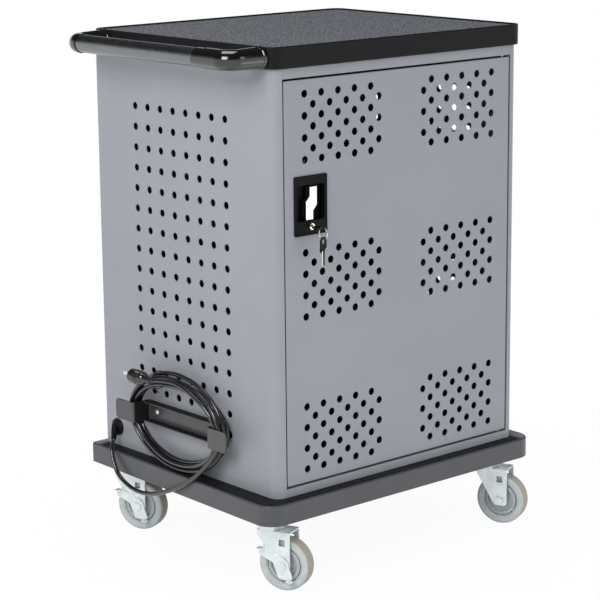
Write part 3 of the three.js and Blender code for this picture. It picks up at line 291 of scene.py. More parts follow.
def softbox(name, spot, aim, size, power):
    """A square studio light that faces a point of the cart."""
    bpy.ops.object.light_add(type="AREA", location=place(*spot))
    lamp = bpy.context.object
    lamp.name = name
    lamp.rotation_euler = (place(*aim) - place(*spot)).to_track_quat("-Z", "Y").to_euler()
    lamp.data.size = size
    lamp.data.energy = power


softbox("key_light", spot=(-2600, -900, 2300), aim=(0, 0, 500), size=1.3, power=46)
softbox("front_light", spot=(900, -3000, 2200), aim=(0, 0, 600), size=1.2, power=8)
softbox("top_light", spot=(-200, 300, 3200), aim=(0, 0, 900), size=1.4, power=22)
softbox("low_light", spot=(400, -1400, 120), aim=(200, -263, 250), size=0.8, power=1.9)

# Base: a pan pressed from thick sheet steel, wider than the cabinet on every side, with rounded
# corners and a folded skirt. It is coated in dark grey enamel and carries the cabinet.
BASE_SIDE = 340
BASE_ENDS = (-291, 280)
BASE_SPLAY = 14
BASE_REAR_CORNER = 8
BASE_LEVELS = (136.6, 175.1)
BASE_CORNER = 37
BASE_EDGE = 3.5
BASE_SHEET = 2
SHADE_END_X = (304, 316)
SHADE_END_Y = (250, 264)


def block(name, low, high):
    """A box between two corners."""
    bpy.ops.object.select_all(action="DESELECT")
    corner, opposite = place(*low), place(*high)
    bpy.ops.mesh.primitive_cube_add(size=1, location=(corner + opposite) / 2)
    piece = bpy.context.object
    piece.name = name
    piece.scale = opposite - corner
    bpy.ops.object.transform_apply()
    return piece


def take(piece):
    """Makes this the one chosen piece."""
    bpy.ops.object.select_all(action="DESELECT")
    piece.select_set(True)
    bpy.context.view_layer.objects.active = piece


def choose(piece, kind, test):
    """Opens a piece for editing with only the faces or edges that pass a test chosen.
    The test gets their middle in millimetres, and their normal or the way they run."""
    take(piece)
    mesh = piece.data
    bpy.context.tool_settings.mesh_select_mode = (False, kind == "edges", kind == "polygons")
    for parts in (mesh.vertices, mesh.edges, mesh.polygons):
        parts.foreach_set("select", [False] * len(parts))
    origin = place(0, 0, 0)
    for part in getattr(mesh, kind):
        ends = [mesh.vertices[i].co for i in part.vertices]
        way = part.normal if kind == "polygons" else (ends[1] - ends[0]).normalized()
        middle = part.center if kind == "polygons" else (ends[0] + ends[1]) / 2
        part.select = test((middle - origin) / MM, way)
    bpy.ops.object.mode_set(mode="EDIT")


def done():
    """Closes the piece that is open for editing."""
    bpy.ops.object.mode_set(mode="OBJECT")


def round_off(piece, radius, segments, test):
    """Rounds the edges that pass a test."""
    choose(piece, "edges", test)
    bpy.ops.mesh.bevel(offset=radius * MM, segments=segments, affect="EDGES")
    done()


def open_up(piece, test):
    """Takes out the faces that pass a test."""
    choose(piece, "polygons", test)
    bpy.ops.mesh.delete(type="FACE")
    done()


def worked(piece, kind, **settings):
    """Adds one modifier with its settings and applies it to the mesh."""
    take(piece)
    modifier = piece.modifiers.new(kind, kind)
    for key, value in settings.items():
        setattr(modifier, key, value)
    bpy.ops.object.modifier_apply(modifier=modifier.name)


def thicken(piece, sheet):
    """Turns a skin into sheet metal, with the skin as its outer face."""
    choose(piece, "polygons", lambda middle, normal: True)
    bpy.ops.mesh.normals_make_consistent(inside=False)
    done()
    worked(piece, "SOLIDIFY", thickness=sheet * MM, offset=-1, use_even_offset=True)


def fit(piece, finish, body, slot, *nodes, angle=35):
    """Gives a finished piece its material, smooth faces and its body, and hides the solids it stands for.
    """
    take(piece)
    bpy.ops.object.shade_smooth_by_angle(angle=math.radians(angle))
    worked(piece, "WEIGHTED_NORMAL", keep_sharp=True)
    piece.data.materials.clear()
    piece.data.materials.append(finish)
    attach(piece, body)
    if nodes:
        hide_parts(*nodes)


# Dark enamel: charcoal with a faint orange peel, a soft gloss and a little dust.
base_enamel, tree, surface = new_finish("base_charcoal_enamel", Metallic=0.0, Coat_Weight=0.15)
cloudy = mottle(tree, 140)
tree.links.new(two_tone(tree, cloudy, "424347", "4e4f54"), surface.inputs["Base Color"])
tree.links.new(between(tree, mottle(tree, 30), 0.34, 0.46), surface.inputs["Roughness"])
relief(tree, surface, mottle(tree, 1.6), 0.06)

# Ledge shade: alongside the cabinet the ledge's top is painted near black as painted shade, for the
# cabinet's shadow and the dark ceiling it reflects, matt and slightly pebbled; past the cabinet's ends it
# is plain enamel.
painted_shade_coat, tree, surface = new_finish("base_ledge_painted_shade", Coat_Weight=0.05)
spot = add_node(tree, "SeparateXYZ", {0: add_node(tree, "TexCoord").outputs["Object"]})
past_side = between(tree, spot.outputs["X"], 0, 1, *[place(x, 0, 0).x for x in SHADE_END_X])
past_back = between(tree, spot.outputs["Y"], 0, 1, *[place(0, y, 0).y for y in SHADE_END_Y])
out_of_shade = add_node(tree, "Math", {0: past_back, 1: past_side}, operation="MAXIMUM").outputs[0]
black = two_tone(tree, mottle(tree, 40), "1b1b1d", "242426")
enamel = {"Factor": out_of_shade, 6: black, 7: linear("75767c")}
tree.links.new(add_node(tree, "Mix", enamel, data_type="RGBA").outputs[2], surface.inputs["Base Color"])
tree.links.new(between(tree, out_of_shade, 0.1, 0.5, 0, 1), surface.inputs["Specular IOR Level"])
tree.links.new(between(tree, mottle(tree, 8), 0.5, 0.7), surface.inputs["Roughness"])
relief(tree, surface, mottle(tree, 1.8), 0.12)

base = block(
    "base",
    (-BASE_SIDE, BASE_ENDS[0], BASE_LEVELS[0]),
    (BASE_SIDE, BASE_ENDS[1], BASE_LEVELS[1]),
)
choose(base, "edges", lambda middle, way: abs(way.z) > 0.9 and middle.x < 0 and middle.y < 0)
bpy.ops.transform.translate(value=(-BASE_SPLAY * MM, 0, 0))
done()
round_off(base, BASE_CORNER, 10, lambda middle, way: abs(way.z) > 0.9 and middle.y < 0)
round_off(base, BASE_REAR_CORNER, 5, lambda middle, way: abs(way.z) > 0.9 and middle.y > BASE_ENDS[1] - 1)
round_off(base, BASE_EDGE, 4, lambda middle, way: abs(way.z) < 0.1 and middle.z > BASE_LEVELS[1] - 1)
open_up(base, lambda middle, normal: normal.z < -0.9)
thicken(base, BASE_SHEET)
fit(base, base_enamel, "cabinet", "base_enamel", "base_pan")
# The ledge's top faces get the painted shade; the other faces keep the charcoal enamel.
base.data.materials.append(painted_shade_coat)
for face in base.data.polygons:
    face.material_index = int(face.normal.z > 0.99 and face.center.z > (BASE_LEVELS[1] - 0.5) * MM)


def coat(node, finish):
    """Gives a solid that is shown as it is its material."""
    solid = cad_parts[node]
    solid.data.materials.clear()
    solid.data.materials.append(finish)


for side in ("left", "right"):
    coat("base_rail_" + side, base_enamel)

# Casters: plate casters of bright zinc-plated pressed steel. Each has a bolted top plate with a
# ball race, a swivel fork, an axle bolt, a grey nylon hub and a grey rubber tyre with a worn tread.
WHEEL_RADIUS = 50
TYRE_WIDTH = 30
TYRE_SEAT = 33.3
TYRE_SHOULDER = 5.5
TYRE_LIP = 1.5
TREAD_DEPTH = 1.2
AXLE_HEIGHT = 50
HUB_RIM_HALF = 11
HUB_BOSS_HALF = 17.4
CASTER_TURN = math.radians(24)
WHEEL_CENTRES = {
    "front_left": (-286.985, -259.233),
    "front_right": (285.015, -259.233),
    "rear_left": (-272.985, 200.767),
    "rear_right": (299.015, 200.767),
}
AXLE_WAY = Vector((math.cos(CASTER_TURN), math.sin(CASTER_TURN), 0))

# Zinc plate: bright, faintly blue metal with a satin gloss and cloudy patches of passivation.
zinc_plate, tree, surface = new_finish("zinc_plated_steel", Metallic=0.5)
passivated = between(tree, mottle(tree, 22, 1), 0, 1)
tree.links.new(two_tone(tree, passivated, "d9e3e5", "eaf0f1"), surface.inputs["Base Color"])
tree.links.new(between(tree, mottle(tree, 14, 0), 0.26, 0.38), surface.inputs["Roughness"])
relief(tree, surface, mottle(tree, 16, 0), 0.02)

# Nylon hub: grey, slightly waxy, with the faint grain of the mould.
hub_nylon, tree, surface = new_finish("grey_nylon_hub", Specular_IOR_Level=0.4)
tree.links.new(two_tone(tree, mottle(tree, 9), "a4abae", "b5babd"), surface.inputs["Base Color"])
tree.links.new(between(tree, mottle(tree, 4), 0.38, 0.52), surface.inputs["Roughness"])
relief(tree, surface, mottle(tree, 0.7), 0.04)

# Tyre rubber: pale cool grey, matt, with scuffs; the tread is painted a darker tan grey as painted shade
# from the fork above it.
tyre_rubber, tree, surface = new_finish("grey_tyre_rubber", Specular_IOR_Level=0.35)
tree.links.new(two_tone(tree, mottle(tree, 12), "b3bbbc", "c5cccc"), surface.inputs["Base Color"])
tree.links.new(between(tree, mottle(tree, 6), 0.5, 0.7), surface.inputs["Roughness"])
relief(tree, surface, mottle(tree, 1.1), 0.08)
shaded_tread, tree, surface = new_finish("tyre_tread_painted_shade", Specular_IOR_Level=0.3)
tree.links.new(two_tone(tree, mottle(tree, 7), "9c958c", "b9b3ab"), surface.inputs["Base Color"])
tree.links.new(between(tree, mottle(tree, 3), 0.6, 0.85), surface.inputs["Roughness"])
relief(tree, surface, mottle(tree, 0.8), 0.12)


def turned(name, start, way, steps, sides=64):
    """A round piece drawn out of a disc: each step goes on along the axis and to a new radius."""
    bpy.ops.object.select_all(action="DESELECT")
    way = Vector(way).normalized()
    spot = place(*start) + way * steps[0][0] * MM
    radius = steps[0][1]
    turn = way.to_track_quat("Z", "Y").to_euler()
    bpy.ops.mesh.primitive_circle_add(
        vertices=sides,
        radius=radius * MM,
        fill_type="NGON",
        location=spot,
        rotation=turn,
    )
    piece = bpy.context.object
    piece.name = name
    bpy.ops.object.transform_apply()
    choose(piece, "polygons", lambda middle, normal: True)
    for advance, wide in steps[1:]:
        bpy.ops.mesh.extrude_region_move(TRANSFORM_OT_translate={"value": way * advance * MM})
        spot = spot + way * advance * MM
        bpy.ops.transform.resize(value=(wide / radius,) * 3, center_override=spot)
        radius = wide
    bpy.ops.mesh.select_all(action="SELECT")
    bpy.ops.mesh.normals_make_consistent(inside=False)
    done()
    return piece


def spun(name, middle, axis, across, low, high, corners, segments=5, steps=72):
    """A ring: a rectangle beside the axis, with its chosen corners rounded, spun all round.
    low and high are (along the axis, out from it); corners are (test, radius) pairs."""
    bpy.ops.object.select_all(action="DESELECT")
    axis, across = Vector(axis), Vector(across)
    centre = place(*middle)
    bpy.ops.mesh.primitive_plane_add(size=1)
    piece = bpy.context.object
    piece.name = name
    for vertex in piece.data.vertices:
        along = low[0] if vertex.co.x < 0 else high[0]
        out = low[1] if vertex.co.y < 0 else high[1]
        vertex.co = centre + (axis * along + across * out) * MM
    for reach, radius in corners:
        take(piece)
        bpy.context.tool_settings.mesh_select_mode = (True, False, False)
        for vertex in piece.data.vertices:
            vertex.select = abs((vertex.co - centre).dot(across) / MM - reach) < 0.01
        bpy.ops.object.mode_set(mode="EDIT")
        bpy.ops.mesh.bevel(offset=radius * MM, segments=segments, affect="VERTICES")
        done()
    choose(piece, "polygons", lambda spot, normal: True)
    bpy.ops.mesh.spin(steps=steps, angle=2 * math.pi, center=centre, axis=axis)
    bpy.ops.mesh.select_all(action="SELECT")
    bpy.ops.mesh.remove_doubles(threshold=0.00001)
    bpy.ops.mesh.normals_make_consistent(inside=False)
    done()
    return piece


def copied(node, name, edge, segments=2):
    """A solid's own shape as a new piece, with its sharp edges rounded by this radius."""
    piece = bpy.data.objects.new(name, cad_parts[node].data.copy())
    bpy.context.collection.objects.link(piece)
    choose(piece, "polygons", lambda middle, normal: True)
    bpy.ops.mesh.customdata_custom_splitnormals_clear()
    bpy.ops.mesh.remove_doubles(threshold=0.00001)
    bpy.ops.mesh.dissolve_limited(angle_limit=math.radians(1))
    done()
    worked(
        piece,
        "BEVEL",
        width=edge * MM,
        segments=segments,
        limit_method="ANGLE",
        angle_limit=math.radians(40),
    )
    return piece


for spot, (x, y) in WHEEL_CENTRES.items():
    tyre = spun(
        "tyre_" + spot,
        (x, y, AXLE_HEIGHT),
        AXLE_WAY,
        (0, 0, 1),
        (-TYRE_WIDTH / 2, TYRE_SEAT),
        (TYRE_WIDTH / 2, WHEEL_RADIUS),
        [(WHEEL_RADIUS, TYRE_SHOULDER), (TYRE_SEAT, TYRE_LIP)],
    )
    fit(tyre, tyre_rubber, "wheel_" + spot, "tyre_rubber", "wheel_tyre_" + spot, angle=50)
    tyre.data.materials.append(shaded_tread)
    axle = place(x, y, AXLE_HEIGHT)
    # The tread faces get the painted shade.
    for face in tyre.data.polygons:
        outward = face.center - axle
        outward -= AXLE_WAY * outward.dot(AXLE_WAY)
        face.material_index = int(outward.length > (WHEEL_RADIUS - TREAD_DEPTH) * MM)
    hub = turned(
        "hub_" + spot,
        (x, y, AXLE_HEIGHT),
        AXLE_WAY,
        [
            (-HUB_BOSS_HALF, 7),
            (0, 12),
            (1, 13),
            (8.4, 13.4),
            (0, 24),
            (-5, 26.5),
            (0, 29.5),
            (1.4, 32.2),
            (2 * HUB_RIM_HALF - 1.2, 32.2),
            (1.4, 29.5),
            (0, 26.5),
            (-5, 24),
            (0, 13.4),
            (8.4, 13),
            (1, 12),
            (0, 7),
        ],
    )
    fit(hub, hub_nylon, "wheel_" + spot, "hub_plastic", "wheel_hub_" + spot, angle=30)
    plate = copied("caster_plate_" + spot, "top_plate_" + spot, edge=0.8)
    fit(plate, zinc_plate, "cabinet", "zinc_plate", "caster_plate_" + spot)
    fork = copied("caster_fork_" + spot, "fork_" + spot, edge=1.0)
    fit(fork, zinc_plate, "fork_" + spot, "zinc_plate", "caster_fork_" + spot)
    bolt = turned(
        "axle_bolt_" + spot,
        (x, y, AXLE_HEIGHT),
        AXLE_WAY,
        [(-27.4, 6), (0.8, 8.4), (4.2, 8.4), (0.6, 5), (43.5, 5), (0.6, 8.4), (4.2, 8.4), (0.8, 6)],
        sides=24,
    )
    fit(bolt, zinc_plate, "fork_" + spot, "zinc_plate", "caster_axle_" + spot, angle=25)

# Brakes: on the two casters under the handle a pressed zinc lever pivots on the axle bolt, with a
# broad pedal turned up behind the wheel and a tail with a turned-out tab. The tab's corners are
# given from the middle of the wheel.
TAB_LOW = (-33, -25, -27)
TAB_HIGH = (-23, -12, -24.2)
TAB_EDGE = 0.8
for spot in ("front_left", "rear_left"):
    lever = copied("brake_lever_" + spot, "brake_" + spot, edge=0.8)
    tab = block("brake_tab", TAB_LOW, TAB_HIGH)
    round_off(tab, TAB_EDGE, 2, lambda middle, way: True)
    turned_out = Matrix.Rotation(CASTER_TURN, 4, "Z") @ Matrix.Translation(-place(0, 0, 0))
    tab.data.transform(Matrix.Translation(place(*WHEEL_CENTRES[spot], AXLE_HEIGHT)) @ turned_out)
    take(lever)
    tab.select_set(True)
    bpy.ops.object.join()
    fit(lever, zinc_plate, "brake_" + spot, "zinc_plate", "brake_lever_" + spot)

# Cabinet sides: one sheet-steel panel on each side, punched with rows of round holes and rolled
# round the front corner into the door jamb. Pale grey enamel, spot-welded to the top and floor.
BODY_HALF = (311, 263)
BODY_LEVELS = (175.4, 960.4)
CORNER_RADIUS = 22
JAMB_DEPTH = 18
JAMB_X = 288.5
SHEET = 1.5
HOLE_RADIUS = 7
HOLE_CHAMFER = 0.4
SIDE_HOLES = (8, 16)
SIDE_PITCH = (38.5, 39.3)
SIDE_MIDDLE = (6.5, 566.65)

# Grey enamel: a mid grey powder coat with a fine orange peel, a satin gloss and faint clouding.
body_enamel, tree, surface = new_finish("body_grey_enamel", Metallic=0.0, Coat_Weight=0.1)
cloudy = mottle(tree, 220)
tree.links.new(two_tone(tree, cloudy, "8d9198", "979ba2"), surface.inputs["Base Color"])
tree.links.new(between(tree, mottle(tree, 26), 0.4, 0.52), surface.inputs["Roughness"])
relief(tree, surface, mottle(tree, 1.4), 0.05)


def punch(piece, cutter):
    """Cuts one piece out of another and takes the cutter away."""
    worked(piece, "BOOLEAN", operation="DIFFERENCE", solver="MANIFOLD", object=cutter)
    bpy.data.objects.remove(cutter)


def rows(piece, count, step):
    """Repeats a piece in a straight row."""
    worked(
        piece,
        "ARRAY",
        count=count,
        use_relative_offset=False,
        use_constant_offset=True,
        constant_offset_displace=Vector(step) * MM,
    )


def hole_punch(name, start, way):
    """A round punch with a flared neck, which leaves a small chamfer at the mouth of its hole."""
    flare = HOLE_RADIUS + HOLE_CHAMFER
    steps = [(-2, flare + 2), (2 + HOLE_CHAMFER, HOLE_RADIUS), (4, HOLE_RADIUS)]
    return turned(name, start, way, steps, sides=32)


for name, side in (("left", -1), ("right", 1)):
    skin = block(
        "cabinet_side_" + name,
        (min(side * BODY_HALF[0], side * JAMB_X), -BODY_HALF[1], BODY_LEVELS[0]),
        (max(side * BODY_HALF[0], side * JAMB_X), BODY_HALF[1], BODY_LEVELS[1]),
    )
    round_off(
        skin,
        CORNER_RADIUS,
        12,
        lambda middle, way: abs(way.z) > 0.9 and middle.y < 0 and abs(middle.x) > 300,
    )
    open_up(skin, lambda middle, normal: abs(normal.z) > 0.9 or normal.y > 0.9 or normal.x * side < -0.9)
    choose(
        skin,
        "edges",
        lambda middle, way: abs(way.z) > 0.9 and middle.y < -260 and abs(middle.x) < JAMB_X + 0.2,
    )
    bpy.ops.mesh.extrude_edges_move(TRANSFORM_OT_translate={"value": (0, JAMB_DEPTH * MM, 0)})
    done()
    thicken(skin, SHEET)
    first = (
        side * BODY_HALF[0],
        SIDE_MIDDLE[0] - SIDE_PITCH[0] * (SIDE_HOLES[0] - 1) / 2,
        SIDE_MIDDLE[1] - SIDE_PITCH[1] * (SIDE_HOLES[1] - 1) / 2,
    )
    cutter = hole_punch("side_punch", first, (-side, 0, 0))
    rows(cutter, SIDE_HOLES[0], (0, SIDE_PITCH[0], 0))
    rows(cutter, SIDE_HOLES[1], (0, 0, SIDE_PITCH[1]))
    punch(skin, cutter)
    fit(skin, body_enamel, "cabinet", "body_enamel", name + "_side_panel", "front_post_" + name)

# Top and floor: folded steel panels that close the cabinet above and below. Their front edges turn
# over as the header and the sill that the door closes against. Same grey enamel.
for node, name in (("top_panel", "cabinet_top"), ("floor_panel", "cabinet_floor")):
    panel = copied(node, name, edge=0.9)
    fit(panel, body_enamel, "cabinet", "body_enamel", node)

# Inside: a shelf, two racks of upright dividers, the partition before the power bay, the rear jambs
# and two outlet strips, all of folded sheet and screwed in. The jambs are grey like the body.
for side in ("left", "right"):
    coat("rear_jamb_" + side, body_enamel)

# Black enamel: a plain matt coat inside the cabinet, dusty in patches.
inside_enamel, tree, surface = new_finish("inside_black_enamel", Specular_IOR_Level=0.3)
tree.links.new(two_tone(tree, mottle(tree, 80), "151517", "1f1f22"), surface.inputs["Base Color"])
tree.links.new(between(tree, mottle(tree, 15), 0.5, 0.68), surface.inputs["Roughness"])
relief(tree, surface, mottle(tree, 1.4), 0.05)
for node in ("mid_shelf", "bay_partition"):
    coat(node, inside_enamel)
for level in ("upper", "lower"):
    coat(level + "_divider_rack", inside_enamel)
    coat(level + "_power_strip", inside_enamel)

# Front door: a shallow pan of sheet steel with folded edges, punched with six groups of staggered
# round holes. It turns on two steel pins at its right edge. Same grey enamel as the body.
DOOR_HALF = 285.5
DOOR_LEVELS = (194.9, 938.4)
DOOR_DEPTH = (-263, -245)
DOOR_EDGE = 2.5
FOLD_WIDTH = 14
GROUP_HOLES = (5, 7)
GROUP_PITCH = (40, 19.7)
GROUP_STAGGER = 10
GROUP_SPREAD = (147, 287)
DISH_X = -226
DISH_LEVELS = (657.8, 766.3)
DISH_HALF = 38.75
DISH_FLANGE = 4
HINGE_SPOT = (273.5, -254)
door_middle = sum(DOOR_LEVELS) / 2
door = block(
    "door",
    (-DOOR_HALF, DOOR_DEPTH[0], DOOR_LEVELS[0]),
    (DOOR_HALF, DOOR_DEPTH[1], DOOR_LEVELS[1]),
)
choose(door, "polygons", lambda middle, normal: normal.y > 0.9)
bpy.ops.mesh.inset(thickness=FOLD_WIDTH * MM)
bpy.ops.mesh.delete(type="FACE")
done()
round_off(
    door,
    DOOR_EDGE,
    4,
    lambda middle, way: middle.y < DOOR_DEPTH[0] + 0.1
    or abs(way.y) > 0.9
    and abs(middle.x) > DOOR_HALF - 1,
)
thicken(door, SHEET)
for row in range(GROUP_HOLES[1]):
    shift = GROUP_STAGGER if row % 2 == 0 else -GROUP_STAGGER
    start = (
        -GROUP_SPREAD[0] - GROUP_PITCH[0] * (GROUP_HOLES[0] - 1) / 2,
        DOOR_DEPTH[0],
        door_middle - GROUP_SPREAD[1] + GROUP_PITCH[1] * ((GROUP_HOLES[1] - 1) / 2 - row),
    )
    for side in (-1, 1):
        cutter = hole_punch("door_punch", start, (0, 1, 0))
        move = Vector(((side + 1) * GROUP_SPREAD[0] + side * shift, 0, 0)) * MM
        cutter.data.transform(Matrix.Translation(move))
        rows(cutter, GROUP_HOLES[0], (GROUP_PITCH[0], 0, 0))
        rows(cutter, 3, (0, 0, GROUP_SPREAD[1]))
        punch(door, cutter)
opening = block(
    "lock_opening",
    (DISH_X - DISH_HALF + DISH_FLANGE, DOOR_DEPTH[0] - 5, DISH_LEVELS[0] + DISH_FLANGE),
    (DISH_X + DISH_HALF - DISH_FLANGE, DOOR_DEPTH[0] + 8, DISH_LEVELS[1] - DISH_FLANGE),
)
punch(door, opening)
fit(door, body_enamel, "front_door", "body_enamel", "front_door")

# Gap shade: the door's folded edge is painted matt black as painted shade, so that the gaps round the
# door look dark.
door_gap_shade, tree, surface = new_finish("door_edge_painted_shade", Specular_IOR_Level=0.15)
tree.links.new(two_tone(tree, mottle(tree, 12), "131315", "1d1d1f"), surface.inputs["Base Color"])
tree.links.new(between(tree, mottle(tree, 4), 0.6, 0.8), surface.inputs["Roughness"])
door.data.materials.append(door_gap_shade)
edge_front = place(0, DOOR_DEPTH[0] + 1.2, 0).y
# The door's edge faces get the painted shade.
for face in door.data.polygons:
    spot = (face.center - place(0, 0, 0)) / MM
    side_on = abs(spot.x) > DOOR_HALF - 1 or not DOOR_LEVELS[0] + 1 < spot.z < DOOR_LEVELS[1] - 1
    face.material_index = int(side_on and face.center.y > edge_front and abs(face.normal.y) < 0.6)
for name, level, way in (("top", DOOR_LEVELS[1], 1), ("bottom", DOOR_LEVELS[0], -1)):
    pin = turned(
        "hinge_pin_" + name,
        (*HINGE_SPOT, level - 6 * way),
        (0, 0, way),
        [(0, 3), (10.4, 3), (0.6, 2.4)],
        sides=24,
    )
    fit(pin, zinc_plate, "front_door", "zinc_plate")

# Rear door: a plain folded sheet-steel door over the power bay, with two groups of slots, on pins
# at one edge. Same grey enamel as the body. Its small cam lock is made with the front one.
rear_door = copied("rear_door", "back_door", edge=0.8)
fit(rear_door, body_enamel, "rear_door", "body_enamel", "rear_door")

# Lock: a black plastic dish let into the door, with a recess for the fingers. A chrome-plated turn
# handle works the latch, and a chrome key cylinder below it holds the key. The rear door's cam lock
# has the same chrome face.
DISH_FRONT = -266
DISH_BACK = -247
DISH_CORNER = 3
DISH_BORDER = 2.2
POCKET_HALF = 33
POCKET_LEVELS = (684, 749)
POCKET_BACK = -250.5
POCKET_CORNER = 5

# Moulded plastic: deep black with a fine spark-eroded grain and a medium gloss.
lock_plastic, tree, surface = new_finish("black_moulded_plastic", Specular_IOR_Level=0.12)
tree.links.new(two_tone(tree, mottle(tree, 14), "0c0b0c", "141314"), surface.inputs["Base Color"])
tree.links.new(between(tree, mottle(tree, 5), 0.4, 0.55), surface.inputs["Roughness"])
relief(tree, surface, mottle(tree, 0.6), 0.03)

# Chrome: mirror plating with the faintest waviness and finger marks.
chrome_plate, tree, surface = new_finish("chrome_plating", Metallic=1.0, Base_Color=linear("dcdcda"))
tree.links.new(between(tree, mottle(tree, 8), 0.06, 0.18), surface.inputs["Roughness"])
relief(tree, surface, mottle(tree, 3), 0.02)

dish = block(
    "lock_dish_body",
    (DISH_X - DISH_HALF, DISH_FRONT, DISH_LEVELS[0]),
    (DISH_X + DISH_HALF, DISH_BACK, DISH_LEVELS[1]),
)
round_off(dish, DISH_CORNER, 6, lambda middle, way: abs(way.y) > 0.9)
choose(dish, "polygons", lambda middle, normal: normal.y < -0.9)
bpy.ops.mesh.inset(thickness=DISH_BORDER * MM)
bpy.ops.mesh.inset(thickness=0.6 * MM, depth=-1.0 * MM)
done()
pocket = block(
    "pocket",
    (DISH_X - POCKET_HALF, DISH_FRONT - 5, POCKET_LEVELS[0]),
    (DISH_X + POCKET_HALF, POCKET_BACK, POCKET_LEVELS[1]),
)
round_off(pocket, POCKET_CORNER, 6, lambda middle, way: abs(way.y) > 0.9)
punch(dish, pocket)
worked(dish, "BEVEL", width=0.6 * MM, segments=2, limit_method="ANGLE", use_clamp_overlap=False)
fit(dish, lock_plastic, "front_door", "tray_plastic", "lock_dish")
lever = copied("turn_handle", "chrome_lever", edge=1.3, segments=3)
fit(lever, chrome_plate, "turn_handle", "chrome_plate", "turn_handle")
cam = copied("latch_cam", "latch_tongue", edge=0.5)
fit(cam, zinc_plate, "turn_handle", "zinc_plate", "latch_cam")
barrel = copied("lock_cylinder", "key_barrel", edge=0.5)
fit(barrel, chrome_plate, "lock_core", "chrome_plate", "lock_cylinder")
rear_barrel = copied("rear_lock", "back_lock", edge=0.5)
fit(rear_barrel, chrome_plate, "rear_lock", "chrome_plate", "rear_lock")

# Keys: two steel keys with black plastic heads. One stands in the barrel, and the spare hangs from
# it on a split ring of spring steel.
KEY_SHANK_END = -274.3
SPARE_BLADE_TOP = 633.2
RING_MIDDLE = (-226.05, -297.8, 664.8)
RING_RADIUS = (10.2, 12)
RING_HALF = 0.9
RING_EDGE = 0.8
in_lock = copied("door_key", "key_in_lock", edge=0.5)
fit(in_lock, lock_plastic, "lock_core", "key_plastic", "door_key")
in_lock.data.materials.append(chrome_plate)
for face in in_lock.data.polygons:
    face.material_index = int(face.center.y > place(0, KEY_SHANK_END, 0).y)
spare = copied("spare_key", "key_spare", edge=0.5)
fit(spare, lock_plastic, "key_ring", "key_plastic", "spare_key")
spare.data.materials.append(chrome_plate)
for face in spare.data.polygons:
    face.material_index = int(face.center.z < SPARE_BLADE_TOP * MM)
split_ring = spun(
    "split_ring",
    RING_MIDDLE,
    (1, 0, 0),
    (0, 0, 1),
    (-RING_HALF, RING_RADIUS[0]),
    (RING_HALF, RING_RADIUS[1]),
    [(radius, RING_EDGE) for radius in RING_RADIUS],
    segments=4,
)
fit(split_ring, chrome_plate, "key_ring", "chrome_plate", "key_ring", angle=80)

# Tray: a shallow black plastic tray with a raised rim, moulded in one and screwed to the cabinet
# top. A grey pebbled rubber mat lies loose in it.
TRAY_HALF = (317, 269)
TRAY_LEVELS = (960.7, 1000)
TRAY_CORNER = 24
TRAY_RIM = 7
TRAY_DEPTH = 7
TRAY_EDGE = 2
MAT_HALF = (309, 261)
MAT_LEVELS = (993.3, 997.3)
MAT_CORNER = 16
MAT_EDGE = 1.2
PEBBLE = 4.2

# Tray plastic: near black, with a leather-like mould grain and a satin gloss.
tray_plastic, tree, surface = new_finish("black_tray_plastic", Specular_IOR_Level=0.14)
tree.links.new(two_tone(tree, mottle(tree, 60), "141215", "1b191c"), surface.inputs["Base Color"])
tree.links.new(between(tree, mottle(tree, 9), 0.3, 0.44), surface.inputs["Roughness"])
relief(tree, surface, mottle(tree, 1.0), 0.06)
tray = block("tray", (-TRAY_HALF[0], -TRAY_HALF[1], TRAY_LEVELS[0]), (*TRAY_HALF, TRAY_LEVELS[1]))
round_off(tray, TRAY_CORNER, 10, lambda middle, way: abs(way.z) > 0.9)
choose(tray, "polygons", lambda middle, normal: normal.z > 0.9)
bpy.ops.mesh.inset(thickness=TRAY_RIM * MM)
bpy.ops.mesh.extrude_region_move(TRANSFORM_OT_translate={"value": (0, 0, -TRAY_DEPTH * MM)})
done()
worked(
    tray,
    "BEVEL",
    width=TRAY_EDGE * MM,
    segments=3,
    limit_method="ANGLE",
    angle_limit=math.radians(50),
)
fit(tray, tray_plastic, "cabinet", "tray_plastic", "top_tray")

# Mat rubber: grey and matt, with small pebbles whose tops are painted pale as painted highlight and whose
# gaps are painted dark as painted shade. They are drawn a few times as wide as real ones, so that they
# show.
mat_rubber, tree, surface = new_finish("grey_mat_rubber", Specular_IOR_Level=0.25)
spot = add_node(tree, "TexCoord").outputs["Object"]
pebble = add_node(tree, "TexVoronoi", {"Vector": spot, "Scale": cells(PEBBLE), "Randomness": 0.9})
dust = mottle(tree, 35)
pebble_light_and_shade = between(tree, pebble.outputs["Distance"], 0, 1, 0.1, 0.6)
tree.links.new(two_tone(tree, pebble_light_and_shade, "868a92", "383b40"), surface.inputs["Base Color"])
tree.links.new(between(tree, dust, 0.75, 0.95), surface.inputs["Roughness"])
relief(tree, surface, pebble.outputs["Distance"], 0.4)
mat = block("mat", (-MAT_HALF[0], -MAT_HALF[1], MAT_LEVELS[0]), (*MAT_HALF, MAT_LEVELS[1]))
round_off(mat, MAT_CORNER, 8, lambda middle, way: abs(way.z) > 0.9)
round_off(mat, MAT_EDGE, 3, lambda middle, way: abs(way.z) < 0.1 and middle.z > MAT_LEVELS[1] - 0.5)
fit(mat, mat_rubber, "cabinet", "mat_rubber", "tray_mat")

# Push handle: a satin grey steel tube held between two glossy black moulded elbows, which are
# bolted through the side of the tray.
GRIP_X = -387
GRIP_Z = 980.35
GRIP_RADIUS = 17
GRIP_ENDS = (-151, 199)
ELBOW_ROOT_X = -317.35
SLEEVES = {
    "front": (-1, -237.5, [(40, 1), (0.8, 0.95), (23.2, 1)]),
    "rear": (1, 225.5, [(4, 1)]),
}
ELBOW_RADIUS = 18.5
ELBOW_BEND = 22

